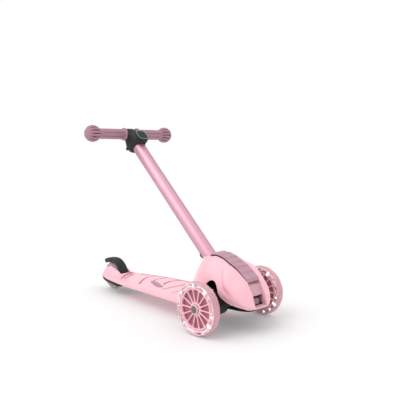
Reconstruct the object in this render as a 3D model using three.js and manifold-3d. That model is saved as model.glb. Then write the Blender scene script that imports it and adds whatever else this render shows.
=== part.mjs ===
// A three wheel kids scooter: deck with a hood over a sprung front axle beam, raked T-bar, rear wheel with a fender brake.
// Millimetres, +X is the travel direction, +Y the rider's left, +Z up. The origin is the middle of the whole object's box, on the ground.
// Pieces are drawn with the front axle above x = 0; the outer group moves them forward by FRONT_AXLE_X.
import * as THREE from "three";
import { mergeVertices } from "three/addons/utils/BufferGeometryUtils.js";
import Module from "manifold-3d";

// ---------------------------------------------------------------- driving dimensions
const FRONT_AXLE_X = 217.2; // front axle, measured from the middle of the object's length
const GAP = 0.3; // clearance between neighbouring pieces

const WHEEL_R = 62.5; // front wheel, 125 mm
const WHEEL_W = 23.2;
const TRACK_HALF = 115.3; // middle of each front wheel
const RIM_R = 48.7;
const LED_R = 52.2;
const SPOKES = 14;
const AXLE_R = 3.9;
const BEARING_R = 11;
const BEARING_W = 7;

const WHEELBASE = 478;
const REAR_R = 40;
const REAR_W = 23.6;

const DECK_TOP_FRONT = 57; // deck's top at the hood
const SLOT_HALF = 17.3; // half width of the slot for the rear wheel

const RAKE = THREE.MathUtils.degToRad(45.9); // the stem leans back by this much from upright
const STEM_BASE = [-75.6, 0, 157.9]; // where the stem's axis meets the hood
const STEM_LENGTH = 439.2; // from there to the bar's axis
const STEM_R = 17.5;
const STEM_WALL = 3.3;
const STEM_INSERT = 78; // stem below the hood's surface
const POST_R = 13.6;
const BAR_HALF = 126.8; // ball centres of the grips
const BALL_R = 22.6;
const GRIP_R = 14.4;
const BAR_R = 11.1;

const KINGPIN_TILT = THREE.MathUtils.degToRad(30); // axis of the sprung pivot rises towards the front
const KINGPIN_Z = 66;
const KINGPIN_R = 5;

// ---------------------------------------------------------------- solids
const wasm = await Module();
wasm.setup();

function solid(geometry) {
  let g = geometry.clone();
  for (const name of Object.keys(g.attributes))
    if (name !== "position") g.deleteAttribute(name);
  g = mergeVertices(g, 1e-4);
  const p = g.attributes.position.array;
  const t = new Uint32Array(g.index.array);
  let volume = 0;
  for (let i = 0; i < t.length; i += 3) {
    const [a, b, c] = [3 * t[i], 3 * t[i + 1], 3 * t[i + 2]];
    volume +=
      p[a] * (p[b + 1] * p[c + 2] - p[b + 2] * p[c + 1]) +
      p[a + 1] * (p[b + 2] * p[c] - p[b] * p[c + 2]) +
      p[a + 2] * (p[b] * p[c + 1] - p[b + 1] * p[c]);
  }
  if (volume < 0)
    for (let i = 0; i < t.length; i += 3) [t[i + 1], t[i + 2]] = [t[i + 2], t[i + 1]];
  return new wasm.Manifold(
    new wasm.Mesh({ numProp: 3, vertProperties: new Float32Array(p), triVerts: t }),
  );
}

function geometryOf(made) {
  const m = made.asOriginal().simplify(0.05).getMesh();
  const v = new Float32Array(m.numVert * 3);
  for (let i = 0; i < m.numVert; i++)
    v.set(m.vertProperties.subarray(i * m.numProp, i * m.numProp + 3), i * 3);
  const g = new THREE.BufferGeometry();
  g.setAttribute("position", new THREE.BufferAttribute(v, 3));
  g.setIndex(new THREE.BufferAttribute(new Uint32Array(m.triVerts), 1));
  const flat = g.toNonIndexed();
  flat.computeVertexNormals();
  return flat;
}

const join = (...parts) => parts.reduce((a, b) => a.add(b));
const cut = (body, ...tools) => tools.reduce((a, b) => a.subtract(b), body);

function moved(geometry, x, y, z) {
  return geometry.clone().translate(x, y, z);
}

// A box from one corner to the other.
function box(x0, x1, y0, y1, z0, z1) {
  return new THREE.BoxGeometry(x1 - x0, y1 - y0, z1 - z0).translate(
    (x0 + x1) / 2,
    (y0 + y1) / 2,
    (z0 + z1) / 2,
  );
}

// A round rod along z, from z0 to z1.
function rodZ(r, z0, z1, sides = 24, rTop = r) {
  return new THREE.CylinderGeometry(rTop, r, z1 - z0, sides)
    .rotateX(Math.PI / 2)
    .translate(0, 0, (z0 + z1) / 2);
}
// The same along y.
function rodY(r, y0, y1, sides = 24, rTop = r) {
  return new THREE.CylinderGeometry(rTop, r, y1 - y0, sides).translate(0, (y0 + y1) / 2, 0);
}

// A closed ring or solid turned about the y axis; the profile is a list of [radius, y].
function turnY(profile, sides) {
  const p = profile.map(([r, y]) => new THREE.Vector2(Math.max(r, 0), y));
  const onAxis = profile[0][0] === 0 && profile[profile.length - 1][0] === 0;
  if (!onAxis) p.push(p[0].clone());
  return new THREE.LatheGeometry(p, sides);
}
const turnZ = (profile, sides) => turnY(profile, sides).rotateX(Math.PI / 2);

// A solid skinned over closed sections that all have the same number of points.
function loft(sections) {
  const n = sections[0].length;
  const v = [];
  const index = [];
  for (const s of sections) for (const p of s) v.push(...p);
  for (let i = 0; i + 1 < sections.length; i++)
    for (let j = 0; j < n; j++) {
      const a = i * n + j,
        b = i * n + ((j + 1) % n),
        c = a + n,
        d = b + n;
      index.push(a, b, d, a, d, c);
    }
  for (const [k, flip] of [
    [0, true],
    [sections.length - 1, false],
  ]) {
    const s = sections[k];
    const mid = [0, 1, 2].map((q) => s.reduce((t, p) => t + p[q], 0) / n);
    const m = v.length / 3;
    v.push(...mid);
    for (let j = 0; j < n; j++) {
      const a = k * n + j,
        b = k * n + ((j + 1) % n);
      if (flip) index.push(b, a, m);
      else index.push(a, b, m);
    }
  }
  const g = new THREE.BufferGeometry();
  g.setAttribute("position", new THREE.Float32BufferAttribute(v, 3));
  g.setIndex(index);
  return g.toNonIndexed();
}

// A plate: outline [[x, z], ...] standing from y0 to y1, or [[x, y], ...] lying from z0 to z1.
function plateXZ(outline, y0, y1) {
  const shape = new THREE.Shape(outline.map(([x, z]) => new THREE.Vector2(x, z)));
  return new THREE.ExtrudeGeometry(shape, { depth: y1 - y0, bevelEnabled: false })
    .rotateX(Math.PI / 2)
    .translate(0, y1, 0);
}
function plateXY(outline, z0, z1) {
  const shape = new THREE.Shape(outline.map(([x, y]) => new THREE.Vector2(x, y)));
  return new THREE.ExtrudeGeometry(shape, { depth: z1 - z0, bevelEnabled: false }).translate(
    0,
    0,
    z0,
  );
}

// Values between the rows of a table [[x, value], ...].
function along(table, x) {
  if (x <= table[0][0]) return table[0][1];
  for (let i = 1; i < table.length; i++)
    if (x <= table[i][0]) {
      const [x0, a] = table[i - 1];
      const [x1, b] = table[i];
      return a + ((b - a) * (x - x0)) / (x1 - x0);
    }
  return table[table.length - 1][1];
}

const finish = (color, roughness, metalness = 0, extra = {}) =>
  new THREE.MeshStandardMaterial({ color, roughness, metalness, ...extra });
const PINK = () => finish(0xffc4cf, 0.45);
const MAUVE = () => finish(0xb88f9f, 0.7);
const BLACK = () => finish(0x2b2d2f, 0.6);
const STEEL = () => finish(0xb9bcc0, 0.35, 0.9);
const RUBBER = () => finish(0x1f2021, 0.9);

function piece(name, made, material) {
  const geometry = made instanceof THREE.BufferGeometry ? geometryOf(solid(made)) : geometryOf(made);
  const m = new THREE.Mesh(geometry, material);
  m.name = name;
  return m;
}

const scooter = new THREE.Group();
const frame = new THREE.Group(); // drawn with the front axle above x = 0
frame.position.x = FRONT_AXLE_X;
scooter.add(frame);

// ---------------------------------------------------------------- deck
const DECK_HALF = [
  [-507, 21],
  [-503, 27],
  [-494, 32.5],
  [-480, 38],
  [-458, 44.5],
  [-420, 51],
  [-370, 58.5],
  [-310, 64.5],
  [-220, 69.5],
  [-160, 73],
  [-100, 75.5],
  [-60, 72],
  [-37, 66],
];
const DECK_TOP = [
  [-507, 47],
  [-430, 48.5],
  [-370, 50.5],
  [-310, 53],
  [-220, 55.5],
  [-120, DECK_TOP_FRONT],
  [-37, DECK_TOP_FRONT],
];
const DECK_BOTTOM = [
  [-507, 39],
  [-400, 38],
  [-200, 40.5],
  [-37, 41.5],
];
// The cheeks on both sides of the rear wheel.
const CHEEK_TOP = [
  [-507, 50],
  [-503, 62],
  [-494, 71.5],
  [-480, 75.5],
  [-468, 73],
  [-452, 64.5],
  [-438, 56],
  [-424, 50],
  [-418, 48.8],
];

function deckSection(x) {
  const hw = along(DECK_HALF, x);
  const top = along(DECK_TOP, x);
  const low = along(DECK_BOTTOM, x);
  const mid = x < -418 ? Math.max(along(CHEEK_TOP, x), top) : top;
  const inner = Math.min(26, hw - 6);
  const lift = mid - top;
  const half = [
    [0, low],
    [hw - 5, low],
    [hw - 1.2, low + 1.2],
    [hw, low + 4.5],
    [hw, top - 4.5],
    [hw - 1.4, top - 1.3],
    [hw - 4.5, top],
    [Math.min(hw - 5, inner + 10), top + lift * 0.12],
    [inner, top + lift * 0.62],
    [Math.min(inner - 2.5, 21), mid],
    [0, mid],
  ];
  const left = half.slice(1, -1).reverse();
  return [...half.map(([y, z]) => [x, -y, z]), ...left.map(([y, z]) => [x, y, z])];
}
const deckStations = [
  -507, -503, -494, -480, -468, -458, -452, -438, -424, -418, -370, -310, -220, -160, -100, -60,
  -37,
];
let deck = solid(loft(deckStations.map(deckSection)));
// Slot for the rear wheel and the brake, open at the back.
deck = cut(deck, solid(box(-620, -422, -SLOT_HALF, SLOT_HALF, 0, 120)));
// Bosses beside the wheel's hub.
for (const side of [-1, 1])
  deck = join(
    deck,
    solid(
      moved(
        rodY(8, side > 0 ? 9.7 : -SLOT_HALF - 0.1, side > 0 ? SLOT_HALF + 0.1 : -9.7, 16),
        -WHEELBASE,
        0,
        REAR_R,
      ),
    ),
  );
// Hollows between the ribs under the deck.
for (const [x0, x1] of [
  [-388, -326],
  [-322, -262],
  [-258, -198],
  [-194, -134],
])
  for (const side of [-1, 1]) {
    const a = along(DECK_HALF, x0) - 5.5;
    const b = along(DECK_HALF, x1) - 5.5;
    deck = cut(
      deck,
      solid(
        plateXY(
          [
            [x0, side * 2],
            [x1, side * 2],
            [x1, side * b],
            [x0, side * a],
          ],
          20,
          along(DECK_TOP, x0) - 3.4,
        ),
      ),
    );
  }
// Open slots for the rear axle, closed from below by the skirt.
deck = cut(
  deck,
  solid(box(-WHEELBASE - 4.3, -WHEELBASE + 4.3, -30.6, 30.6, 20, REAR_R)),
  solid(moved(rodY(4.45, -30.6, 30.6, 16), -WHEELBASE, 0, REAR_R)),
);
// Blind bores for the brake pin, open slots from below.
const BRAKE_X = -429.5;
const BRAKE_Z = 45;
deck = cut(
  deck,
  solid(box(BRAKE_X - 2.8, BRAKE_X + 2.8, -25, 25, 20, BRAKE_Z)),
  solid(moved(rodY(2.95, -25, 25, 12), BRAKE_X, 0, BRAKE_Z)),
);
// Recess for the inlay on top.
const INLAY = [
  [-297, -1.5],
  [-279, -1.5],
  [-229, -24],
  [-229, -35],
  [-246, -35],
  [-297, -9.5],
];
deck = cut(deck, solid(plateXY(INLAY, 52.6, 70)));
// Middle of the front end is open for the pivot of the axle beam.
deck = cut(deck, solid(box(-62, 0, -31, 31, 30, 70)));
// Holes for the bracket bolts.
for (const y of [-16, 16]) deck = cut(deck, solid(moved(rodZ(3.4, 30, 70, 12), -88, y, 0)));
frame.add(piece("deck_body", deck, PINK()));

const INLAY_MID = [-266, -16.5];
const inlayShape = INLAY.map(([x, y]) => [
  INLAY_MID[0] + (x - INLAY_MID[0]) * 0.965,
  INLAY_MID[1] + (y - INLAY_MID[1]) * 0.93,
]);
frame.add(piece("deck_inlay", plateXY(inlayShape, 52.9, 54.35), MAUVE()));

// Skirt under the tail: a U that closes the axle slots.
{
  const outline = (inset, z) => {
    const half = [-390, -400, -420, -440, -458, -480, -494, -501].map((x) => [
      x,
      along(DECK_HALF, x) - 1.5 - inset,
    ]);
    half[0][1] -= 8;
    const right = half.map(([x, y]) => [x, -y, z]);
    const left = half.map(([x, y]) => [x, y, z]).reverse();
    return [...right, ...left];
  };
  let skirt = solid(loft([outline(4, 27.5), outline(0.5, 32), outline(0, 37.3)]));
  skirt = cut(
    skirt,
    solid(box(-620, -419, -SLOT_HALF - 0.4, SLOT_HALF + 0.4, 0, 60)),
    solid(box(-415, -398, -30, 30, 20, 34.5)),
    solid(moved(rodY(4.3, -31, 31, 16), -WHEELBASE, 0, REAR_R)),
  );
  for (const y of [-27, 27]) skirt = cut(skirt, solid(moved(rodZ(2.2, 20, 60, 12), -449, y, 0)));
  frame.add(piece("tail_skirt", skirt, BLACK()));
  for (const [name, y] of [
    ["tail_screw_right", -27],
    ["tail_screw_left", 27],
  ])
    frame.add(
      piece(
        name,
        moved(
          turnZ(
            [
              [0, 24.6],
              [4.2, 24.9],
              [4.2, 27.1],
              [1.9, 27.1],
              [1.9, 37],
              [0, 37],
            ],
            12,
          ),
          -449,
          y,
          0,
        ),
        STEEL(),
      ),
    );
}

// ---------------------------------------------------------------- hood
// Sections across the hood: x, height of the channel's floor, then [y, z] from the ridge beside the channel out and down.
const HOOD = [
  [-127, 59, [[3, 60], [7, 60], [13, 59.7], [18, 59.3], [20, 58.9], [20.5, 58.2]]],
  [-121, 79, [[8, 78.5], [13, 77], [20, 72], [25, 66], [28, 61], [28.5, 58.2]]],
  [-112, 103, [[8, 102], [13, 99], [19, 91], [27, 80], [33, 68], [36.5, 58.2]]],
  [-104, 123, [[8, 122], [14, 117], [22, 104], [31, 88], [39, 72], [44, 58.2]]],
  [-97, 137, [[8, 136], [15, 129], [24, 113], [34, 95], [44, 76], [51, 58.2]]],
  [-88, 149, [[10, 147], [19, 137], [29, 120], [40, 100], [51, 80], [58, 58.2]]],
  [-73, 158, [[22, 155], [31, 143], [40, 126], [51, 104], [60, 82], [65, 58.2]]],
  [-58, 162.6, [[22, 161.6], [37, 152], [50, 133], [61, 108], [67, 84], [69, 58.2]]],
  [-52.6, 163.6, [[22, 163], [38, 154], [52, 134], [62, 109], [68, 84], [69.5, 58.2]]],
  [-51.9, 155, [[22, 163], [38, 154], [52, 134], [62, 109], [68, 84], [69.5, 58.2]]],
  [-32, 156.5, [[22, 166], [41, 158], [56, 140], [66, 114], [70, 86], [71, 58.2]]],
  [-9, 152, [[22, 162], [42, 154], [58, 137], [67, 114], [71, 88], [71, 58.2]]],
  [13, 142.5, [[22, 152], [41, 146], [56, 131], [65, 111], [69, 90], [66, 66]]],
  [29, 135, [[22, 145], [38, 140], [53, 127], [62, 109], [65.5, 91], [60, 71]]],
  [44, 125.5, [[22, 136], [36, 131], [49, 119], [58, 102], [61, 86], [55, 67.5]]],
  [57, 112, [[22, 126], [34, 121], [45, 110], [53, 96], [56.5, 82], [50, 64]]],
  [67, 96, [[22, 118], [32, 113], [42, 102], [49, 90], [52, 79], [46, 62]]],
  [76, 72, [[22, 104], [30, 101], [38, 93], [45, 83], [48, 74], [41, 60]]],
  [80, 61.5, [[22, 97], [29, 94.5], [36, 88], [42, 79.5], [45.5, 72], [38, 58.8]]],
  [85, 61.5, [[22, 86], [28, 85], [33.5, 80], [38, 73.5], [39.5, 68.5], [31, 58]]],
  [89, 61.5, [[22, 72], [26, 72], [29.8, 69.5], [32.3, 67], [32.6, 65.5], [24, 58.6]]],
  [92.5, 61.2, [[22, 64.2], [23.5, 64.3], [24.6, 63.8], [25.2, 62.8], [25.2, 62], [20, 59]]],
];
const HOOD_WALL = 2.6;
function hoodSection([x, floor, side], wall) {
  const low = side[side.length - 1][1];
  const mids = side.map(([y, z], i) => {
    if (!wall) return [y, z];
    const [ya, za] = side[Math.max(0, i - 1)];
    const [yb, zb] = side[Math.min(side.length - 1, i + 1)];
    const length = Math.hypot(yb - ya, zb - za) || 1;
    // inward normal of the outline
    const ny = (zb - za) / length;
    const nz = -(yb - ya) / length;
    return [Math.max(y + ny * wall, 0.5), z + nz * wall];
  });
  const ridge = side[0][0];
  const stepped = side[0][1] - floor > 2;
  const half = [
    [0, floor - wall],
    [Math.max(ridge - 0.4 + (stepped ? wall : 0), 0.4), floor - wall],
    [stepped ? ridge + wall : mids[0][0], mids[0][1]],
    ...mids.slice(1),
  ];
  if (wall) {
    half[half.length - 1] = [Math.max(mids[mids.length - 1][0], 1), low - 6];
  }
  const end = half[half.length - 1];
  half.push([0, end[1]]);
  const left = half.slice(1, -1).reverse();
  return [...half.map(([y, z]) => [x, -y, z]), ...left.map(([y, z]) => [x, y, z])];
}
let hood = solid(loft(HOOD.map((row) => hoodSection(row, 0))));
{
  const inner = HOOD.filter(([x]) => x > -119 && x < 82).map((row) =>
    hoodSection(row, HOOD_WALL),
  );
  // In the nose the hollow stays below the channel.
  const nose = HOOD.find(([x]) => x === 85);
  inner.push(
    hoodSection(nose, HOOD_WALL).map(([, y, z]) => [84, y * 0.78, Math.min(z, 59.2)]),
  );
  hood = cut(hood, solid(loft(inner)));
}
// Side arches for the axle beam.
const ARCH = [
  [-34, 20],
  [-33, 70],
  [-28, 96],
  [-19, 112],
  [-6, 118.5],
  [3, 117],
  [11, 106],
  [18, 90],
  [26, 78],
  [36, 71],
  [46, 67],
  [46, 20],
];
for (const side of [-1, 1])
  hood = cut(hood, solid(plateXZ(ARCH, side > 0 ? 44 : -100, side > 0 ? 100 : -44)));
// Opening for the stem and its collar.
const stemAxis = new THREE.Vector3(-Math.sin(RAKE), 0, Math.cos(RAKE));
function alongStem(geometry) {
  return geometry.clone().rotateY(-RAKE).translate(...STEM_BASE);
}
hood = cut(hood, solid(alongStem(rodZ(20.7, -60, 40, 26))));
// Opening behind the slot in the nose.
hood = cut(hood, solid(box(52, 84, -20.2, 20.2, 62.5, 86)));
frame.add(piece("housing_shell", hood, PINK()));

const FLOOR = HOOD.filter(([x]) => x >= -52 && x <= 57).map(([x, f]) => [x, f]);
const RIDGE = HOOD.filter(([x]) => x >= -52).map(([x, , s]) => [x, s[0][1]]);
{
  const section = (x) => {
    const low = Math.max(along([...FLOOR, [66, 99.5]], x) + 0.45, 0);
    const edge = along(RIDGE, x);
    const crown = along([[-50, 6.8], [-9, 6.4], [30, 5], [66, 3]], x);
    const half = [
      [0, low],
      [21, low],
      [21.1, edge - 0.6],
      [17.5, edge + crown * 0.6],
      [9, edge + crown * 0.95],
      [0, edge + crown],
    ];
    const left = half.slice(1, -1).reverse();
    return [...half.map(([y, z]) => [x, -y, z]), ...left.map(([y, z]) => [x, y, z])];
  };
  const xs = [-51.4, -42, -32, -20, -9, 2, 13, 21, 29, 37, 44, 51, 57, 62, 65.8];
  let pad = solid(loft(xs.map(section)));
  // The rear end follows the stem.
  pad = cut(pad, solid(alongStem(rodZ(22.1, -60, 80, 28))));
  frame.add(piece("safety_pad", pad, MAUVE()));
}

// Lining of the channel in front of the pad, with the slot.
{
  let lining = solid(
    plateXZ(
      [
        [66.4, 109.5],
        [71.8, 99],
        [76.2, 88],
        [79.8, 77],
        [82.4, 68],
        [83.4, 62.2],
        [80.4, 62.2],
        [76.6, 72.4],
        [67.5, 96.4],
        [66.4, 98.6],
      ],
      -21,
      21,
    ),
  );
  lining = cut(lining, solid(box(60, 90, -19.6, 19.6, 63.4, 85)));
  frame.add(piece("nose_insert", lining, MAUVE()));
  frame.add(
    piece(
      "slot_bar",
      plateXZ(
        [
          [64, 64],
          [77.2, 64],
          [77.2, 70.5],
          [73, 77.5],
          [64, 77.5],
        ],
        -19.2,
        9.5,
      ),
      finish(0x8c6f7c, 0.75),
    ),
  );
}

// ---------------------------------------------------------------- floor under the nose, bracket and pivot
const pivotAxis = new THREE.Vector3(Math.cos(KINGPIN_TILT), 0, Math.sin(KINGPIN_TILT));
// Turns a piece drawn along z into one along the pivot, at a distance from its middle.
function alongPivot(geometry) {
  return geometry
    .clone()
    .rotateY(Math.PI / 2 - KINGPIN_TILT)
    .translate(0, 0, KINGPIN_Z);
}
// A point given along (s) and above (t) the pivot.
const pivotPoint = (s, t) => [
  s * Math.cos(KINGPIN_TILT) - t * Math.sin(KINGPIN_TILT),
  KINGPIN_Z + s * Math.sin(KINGPIN_TILT) + t * Math.cos(KINGPIN_TILT),
];
{
  // Bracket: two ears around the pivot, a bridge over it that carries the stem post, a foot under the deck
  // and a toe on the front floor.
  const rearFoot = [
    [-103, 34.6],
    [-103, 39.8],
  ];
  const outline = [
    ...rearFoot,
    [-64.5, 39.9],
    pivotPoint(-38, 8),
    pivotPoint(-38, 34),
    pivotPoint(38, 34),
    pivotPoint(38, -14),
    pivotPoint(27.6, -14),
    pivotPoint(27.6, 24.5),
    pivotPoint(-27.6, 24.5),
    pivotPoint(-27.6, -14),
    pivotPoint(-34, -16),
  ];
  let bracket = solid(plateXZ(outline, -18.5, 18.5));
  // Foot under the deck.
  bracket = join(bracket, solid(box(-103, -64.6, -29, 29, 34.6, 39.9)));
  // Toe that meets the floor under the nose.
  bracket = join(bracket, solid(plateXZ([pivotPoint(33, -8), [34.5, 64.6], [62, 64.6], [62, 68.4], pivotPoint(38, 0)], -18.5, 18.5)));
  bracket = cut(
    bracket,
    solid(alongPivot(rodZ(KINGPIN_R + GAP, -60, 60, 16))),
    solid(alongPivot(rodZ(9, -70, -37.5, 20))),
    solid(alongPivot(rodZ(9.4, 37.5, 70, 20))),
  );
  for (const y of [-16, 16])
    bracket = cut(bracket, solid(moved(rodZ(3.4, 20, 60, 12), -88, y, 0)));
  for (const y of [-10, 10])
    bracket = cut(bracket, solid(moved(rodZ(2.3, 50, 80, 12), 54, y, 0)));
  // Flat seat for the post's socket, and the bore for the post's bolt.
  bracket = cut(bracket, solid(alongStem(rodZ(24, -87, -40, 28))));
  bracket = cut(bracket, solid(alongStem(rodZ(3.3, -140, -80, 12))));
  frame.add(piece("chassis_bracket", bracket, BLACK()));

  // Floor under the nose.
  const floorOutline = [
    [25, -50],
    [57, -46.5],
    [67, -42.5],
    [76, -37.5],
    [82, -31],
    [84, -22],
    [84, 22],
    [82, 31],
    [76, 37.5],
    [67, 42.5],
    [57, 46.5],
    [25, 50],
  ];
  const lower = floorOutline.map(([x, y]) => [x < 40 ? 27.5 : x - 2.5, y * 0.9]);
  let floor = solid(
    loft([
      lower.map(([x, y]) => [x, y, 52.5]),
      floorOutline.map(([x, y]) => [x - 0.6, y * 0.97, 55.4]),
      floorOutline.map(([x, y]) => [x - 0.6, y * 0.97, 56.1]),
      lower.map(([x, y]) => [x < 40 ? 39.6 : Math.min(x - 1.5, 75.5), y * 0.9, 56.2]),
      lower.map(([x, y]) => [x < 40 ? 39.6 : Math.min(x - 1.5, 75.5), y * 0.9, 60.5]),
    ]),
  );
  floor = join(floor, solid(box(40, 62, -18, 18, 60, 64.3)));
  for (const y of [-10, 10])
    floor = cut(floor, solid(moved(rodZ(2.3, 40, 80, 12), 54, y, 0)));
  frame.add(piece("front_floor", floor, BLACK()));
  for (const [name, y] of [
    ["bracket_bolt_right", -16],
    ["bracket_bolt_left", 16],
  ])
    frame.add(
      piece(
        name,
        moved(
          turnZ(
            [
              [0, 31.1],
              [5.4, 31.1],
              [5.4, 34.2],
              [3, 34.2],
              [3, 55],
              [0, 55],
            ],
            12,
          ),
          -88,
          y,
          0,
        ),
        STEEL(),
      ),
    );

  frame.add(
    piece(
      "kingpin",
      alongPivot(
        turnZ(
          [
            [0, -45],
            [8, -45],
            [8, -38.4],
            [KINGPIN_R, -38.4],
            [KINGPIN_R, 46.5],
            [0, 46.5],
          ],
          16,
        ),
      ),
      STEEL(),
    ),
  );
  frame.add(
    piece(
      "kingpin_nut",
      cut(
        solid(alongPivot(rodZ(8.6, 38.4, 45.4, 6))),
        solid(alongPivot(rodZ(KINGPIN_R + GAP, 30, 50, 16))),
      ),
      STEEL(),
    ),
  );
  for (const [name, s0, s1] of [
    ["steering_bush_rear", -27.2, -20.4],
    ["steering_bush_front", 20.4, 27.2],
  ])
    frame.add(
      piece(
        name,
        alongPivot(
          turnZ(
            [
              [KINGPIN_R + GAP, s0],
              [12, s0],
              [12, s1],
              [KINGPIN_R + GAP, s1],
            ],
            16,
          ),
        ),
        finish(0xc9a96a, 0.6),
      ),
    );
}

// ---------------------------------------------------------------- stem post and collar
{
  // Socket on the bridge, post, collar in the hood: all along the stem.
  frame.add(
    piece(
      "stem_socket",
      alongStem(
        turnZ(
          [
            [3.4, -86.6],
            [22.5, -86.6],
            [22.5, -81],
            [21.4, -79],
            [21.4, -31],
            [18.2, -31],
            [18.2, -80.2],
            [3.4, -80.2],
          ],
          24,
        ),
      ),
      BLACK(),
    ),
  );
  let post = solid(
    alongStem(
      turnZ(
        [
          [3.4, -79.8],
          [POST_R, -79.8],
          [POST_R, -9],
          [POST_R - 1, -8],
          [POST_R - 2.6, -8],
          [POST_R - 2.6, -74],
          [3.4, -74],
        ],
        24,
      ),
    ),
  );
  post = cut(post, solid(alongStem(box(-20, -6, -3.6, 3.6, -14, 10))));
  frame.add(piece("stem_post", post, finish(0xa9adb2, 0.4, 0.9)));
  frame.add(
    piece(
      "post_bolt",
      alongStem(
        turnZ(
          [
            [0, -104],
            [3, -104],
            [3, -73.6],
            [5.6, -73.6],
            [5.6, -69.4],
            [0, -69.4],
          ],
          14,
        ),
      ),
      STEEL(),
    ),
  );
  let collar = solid(
    alongStem(
      turnZ(
        [
          [17.85, -27],
          [20.2, -27],
          [20.2, 12],
          [17.85, 12],
        ],
        24,
      ),
    ),
  );
  // Its upper face lies just below the hood's.
  const under = HOOD.map((row) => hoodSection(row, 0).map(([x, y, z]) => [x, y, z - 0.5]));
  collar = collar.intersect(solid(loft(under)));
  frame.add(piece("stem_collar", collar, finish(0x54434b, 0.6)));
}

// ---------------------------------------------------------------- T-bar
const stem = new THREE.Group();
stem.position.set(...STEM_BASE);
stem.rotation.y = -RAKE;
frame.add(stem);
{
  const top = STEM_LENGTH - BAR_R - 2.5;
  let tube = solid(
    turnZ(
      [
        [STEM_R - STEM_WALL, -STEM_INSERT],
        [STEM_R, -STEM_INSERT],
        [STEM_R, top],
        [STEM_R - STEM_WALL, top],
      ],
      32,
    ),
  );
  // Opening for the button, at the back, and a slot below it for the latch.
  const buttonHole = loft(
    [-22, -12].map((x) =>
      [...Array(12).keys()].map((i) => {
        const a = (i / 12) * 2 * Math.PI;
        return [x, 5.9 * Math.cos(a), 15.5 + 8.9 * Math.sin(a)];
      }),
    ),
  );
  tube = cut(tube, solid(buttonHole));
  stem.add(piece("stem_tube", tube, finish(0xd6a6ba, 0.35, 0.4)));
  stem.add(
    piece(
      "lower_bush",
      turnZ(
        [
          [POST_R + 0.12, -STEM_INSERT - 1.9],
          [STEM_R - 0.1, -STEM_INSERT - 1.9],
          [STEM_R - 0.1, -STEM_INSERT - GAP],
          [POST_R + 0.12, -STEM_INSERT - GAP],
        ],
        24,
      ),
      finish(0xe8e4de, 0.5),
    ),
  );

  // Button: a rounded bar that stands 7 mm out of the tube's back, with a latch finger inside.
  const shell = loft(
    [
      [-24.4, 0.6],
      [-23.6, 0.86],
      [-21.6, 0.985],
      [-12.4, 1],
    ].map(([x, k]) =>
      [...Array(12).keys()].map((i) => {
        const a = (i / 12) * 2 * Math.PI;
        return [x, 5.5 * k * Math.cos(a), 15.5 + 8.5 * k * Math.sin(a)];
      }),
    ),
  );
  let button = solid(shell);
  button = join(button, solid(box(-12.9, -9.2, -4.6, 4.6, 8.5, 22.5)), solid(box(-11.3, -9.2, -7.4, 7.4, 4, 27)));
  button = join(button, solid(box(-12.7, -9.2, -3, 3, -12.6, 4.5)));
  button = join(button, solid(box(-12.7, -2.5, -2.6, 2.6, 14.9, 16.1)));
  stem.add(piece("release_button", button, BLACK()));
  stem.add(
    piece(
      "button_spring",
      cut(
        solid(loft([-8.8, 8.8].map((x) => [...Array(14).keys()].map((i) => {
          const a = (i / 14) * 2 * Math.PI;
          return [x, 4.6 * Math.cos(a), 15.5 + 4.6 * Math.sin(a)];
        })))),
        solid(loft([-10, 10].map((x) => [...Array(14).keys()].map((i) => {
          const a = (i / 14) * 2 * Math.PI;
          return [x, 3.4 * Math.cos(a), 15.5 + 3.4 * Math.sin(a)];
        })))),
      ),
      STEEL(),
    ),
  );
}

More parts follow.
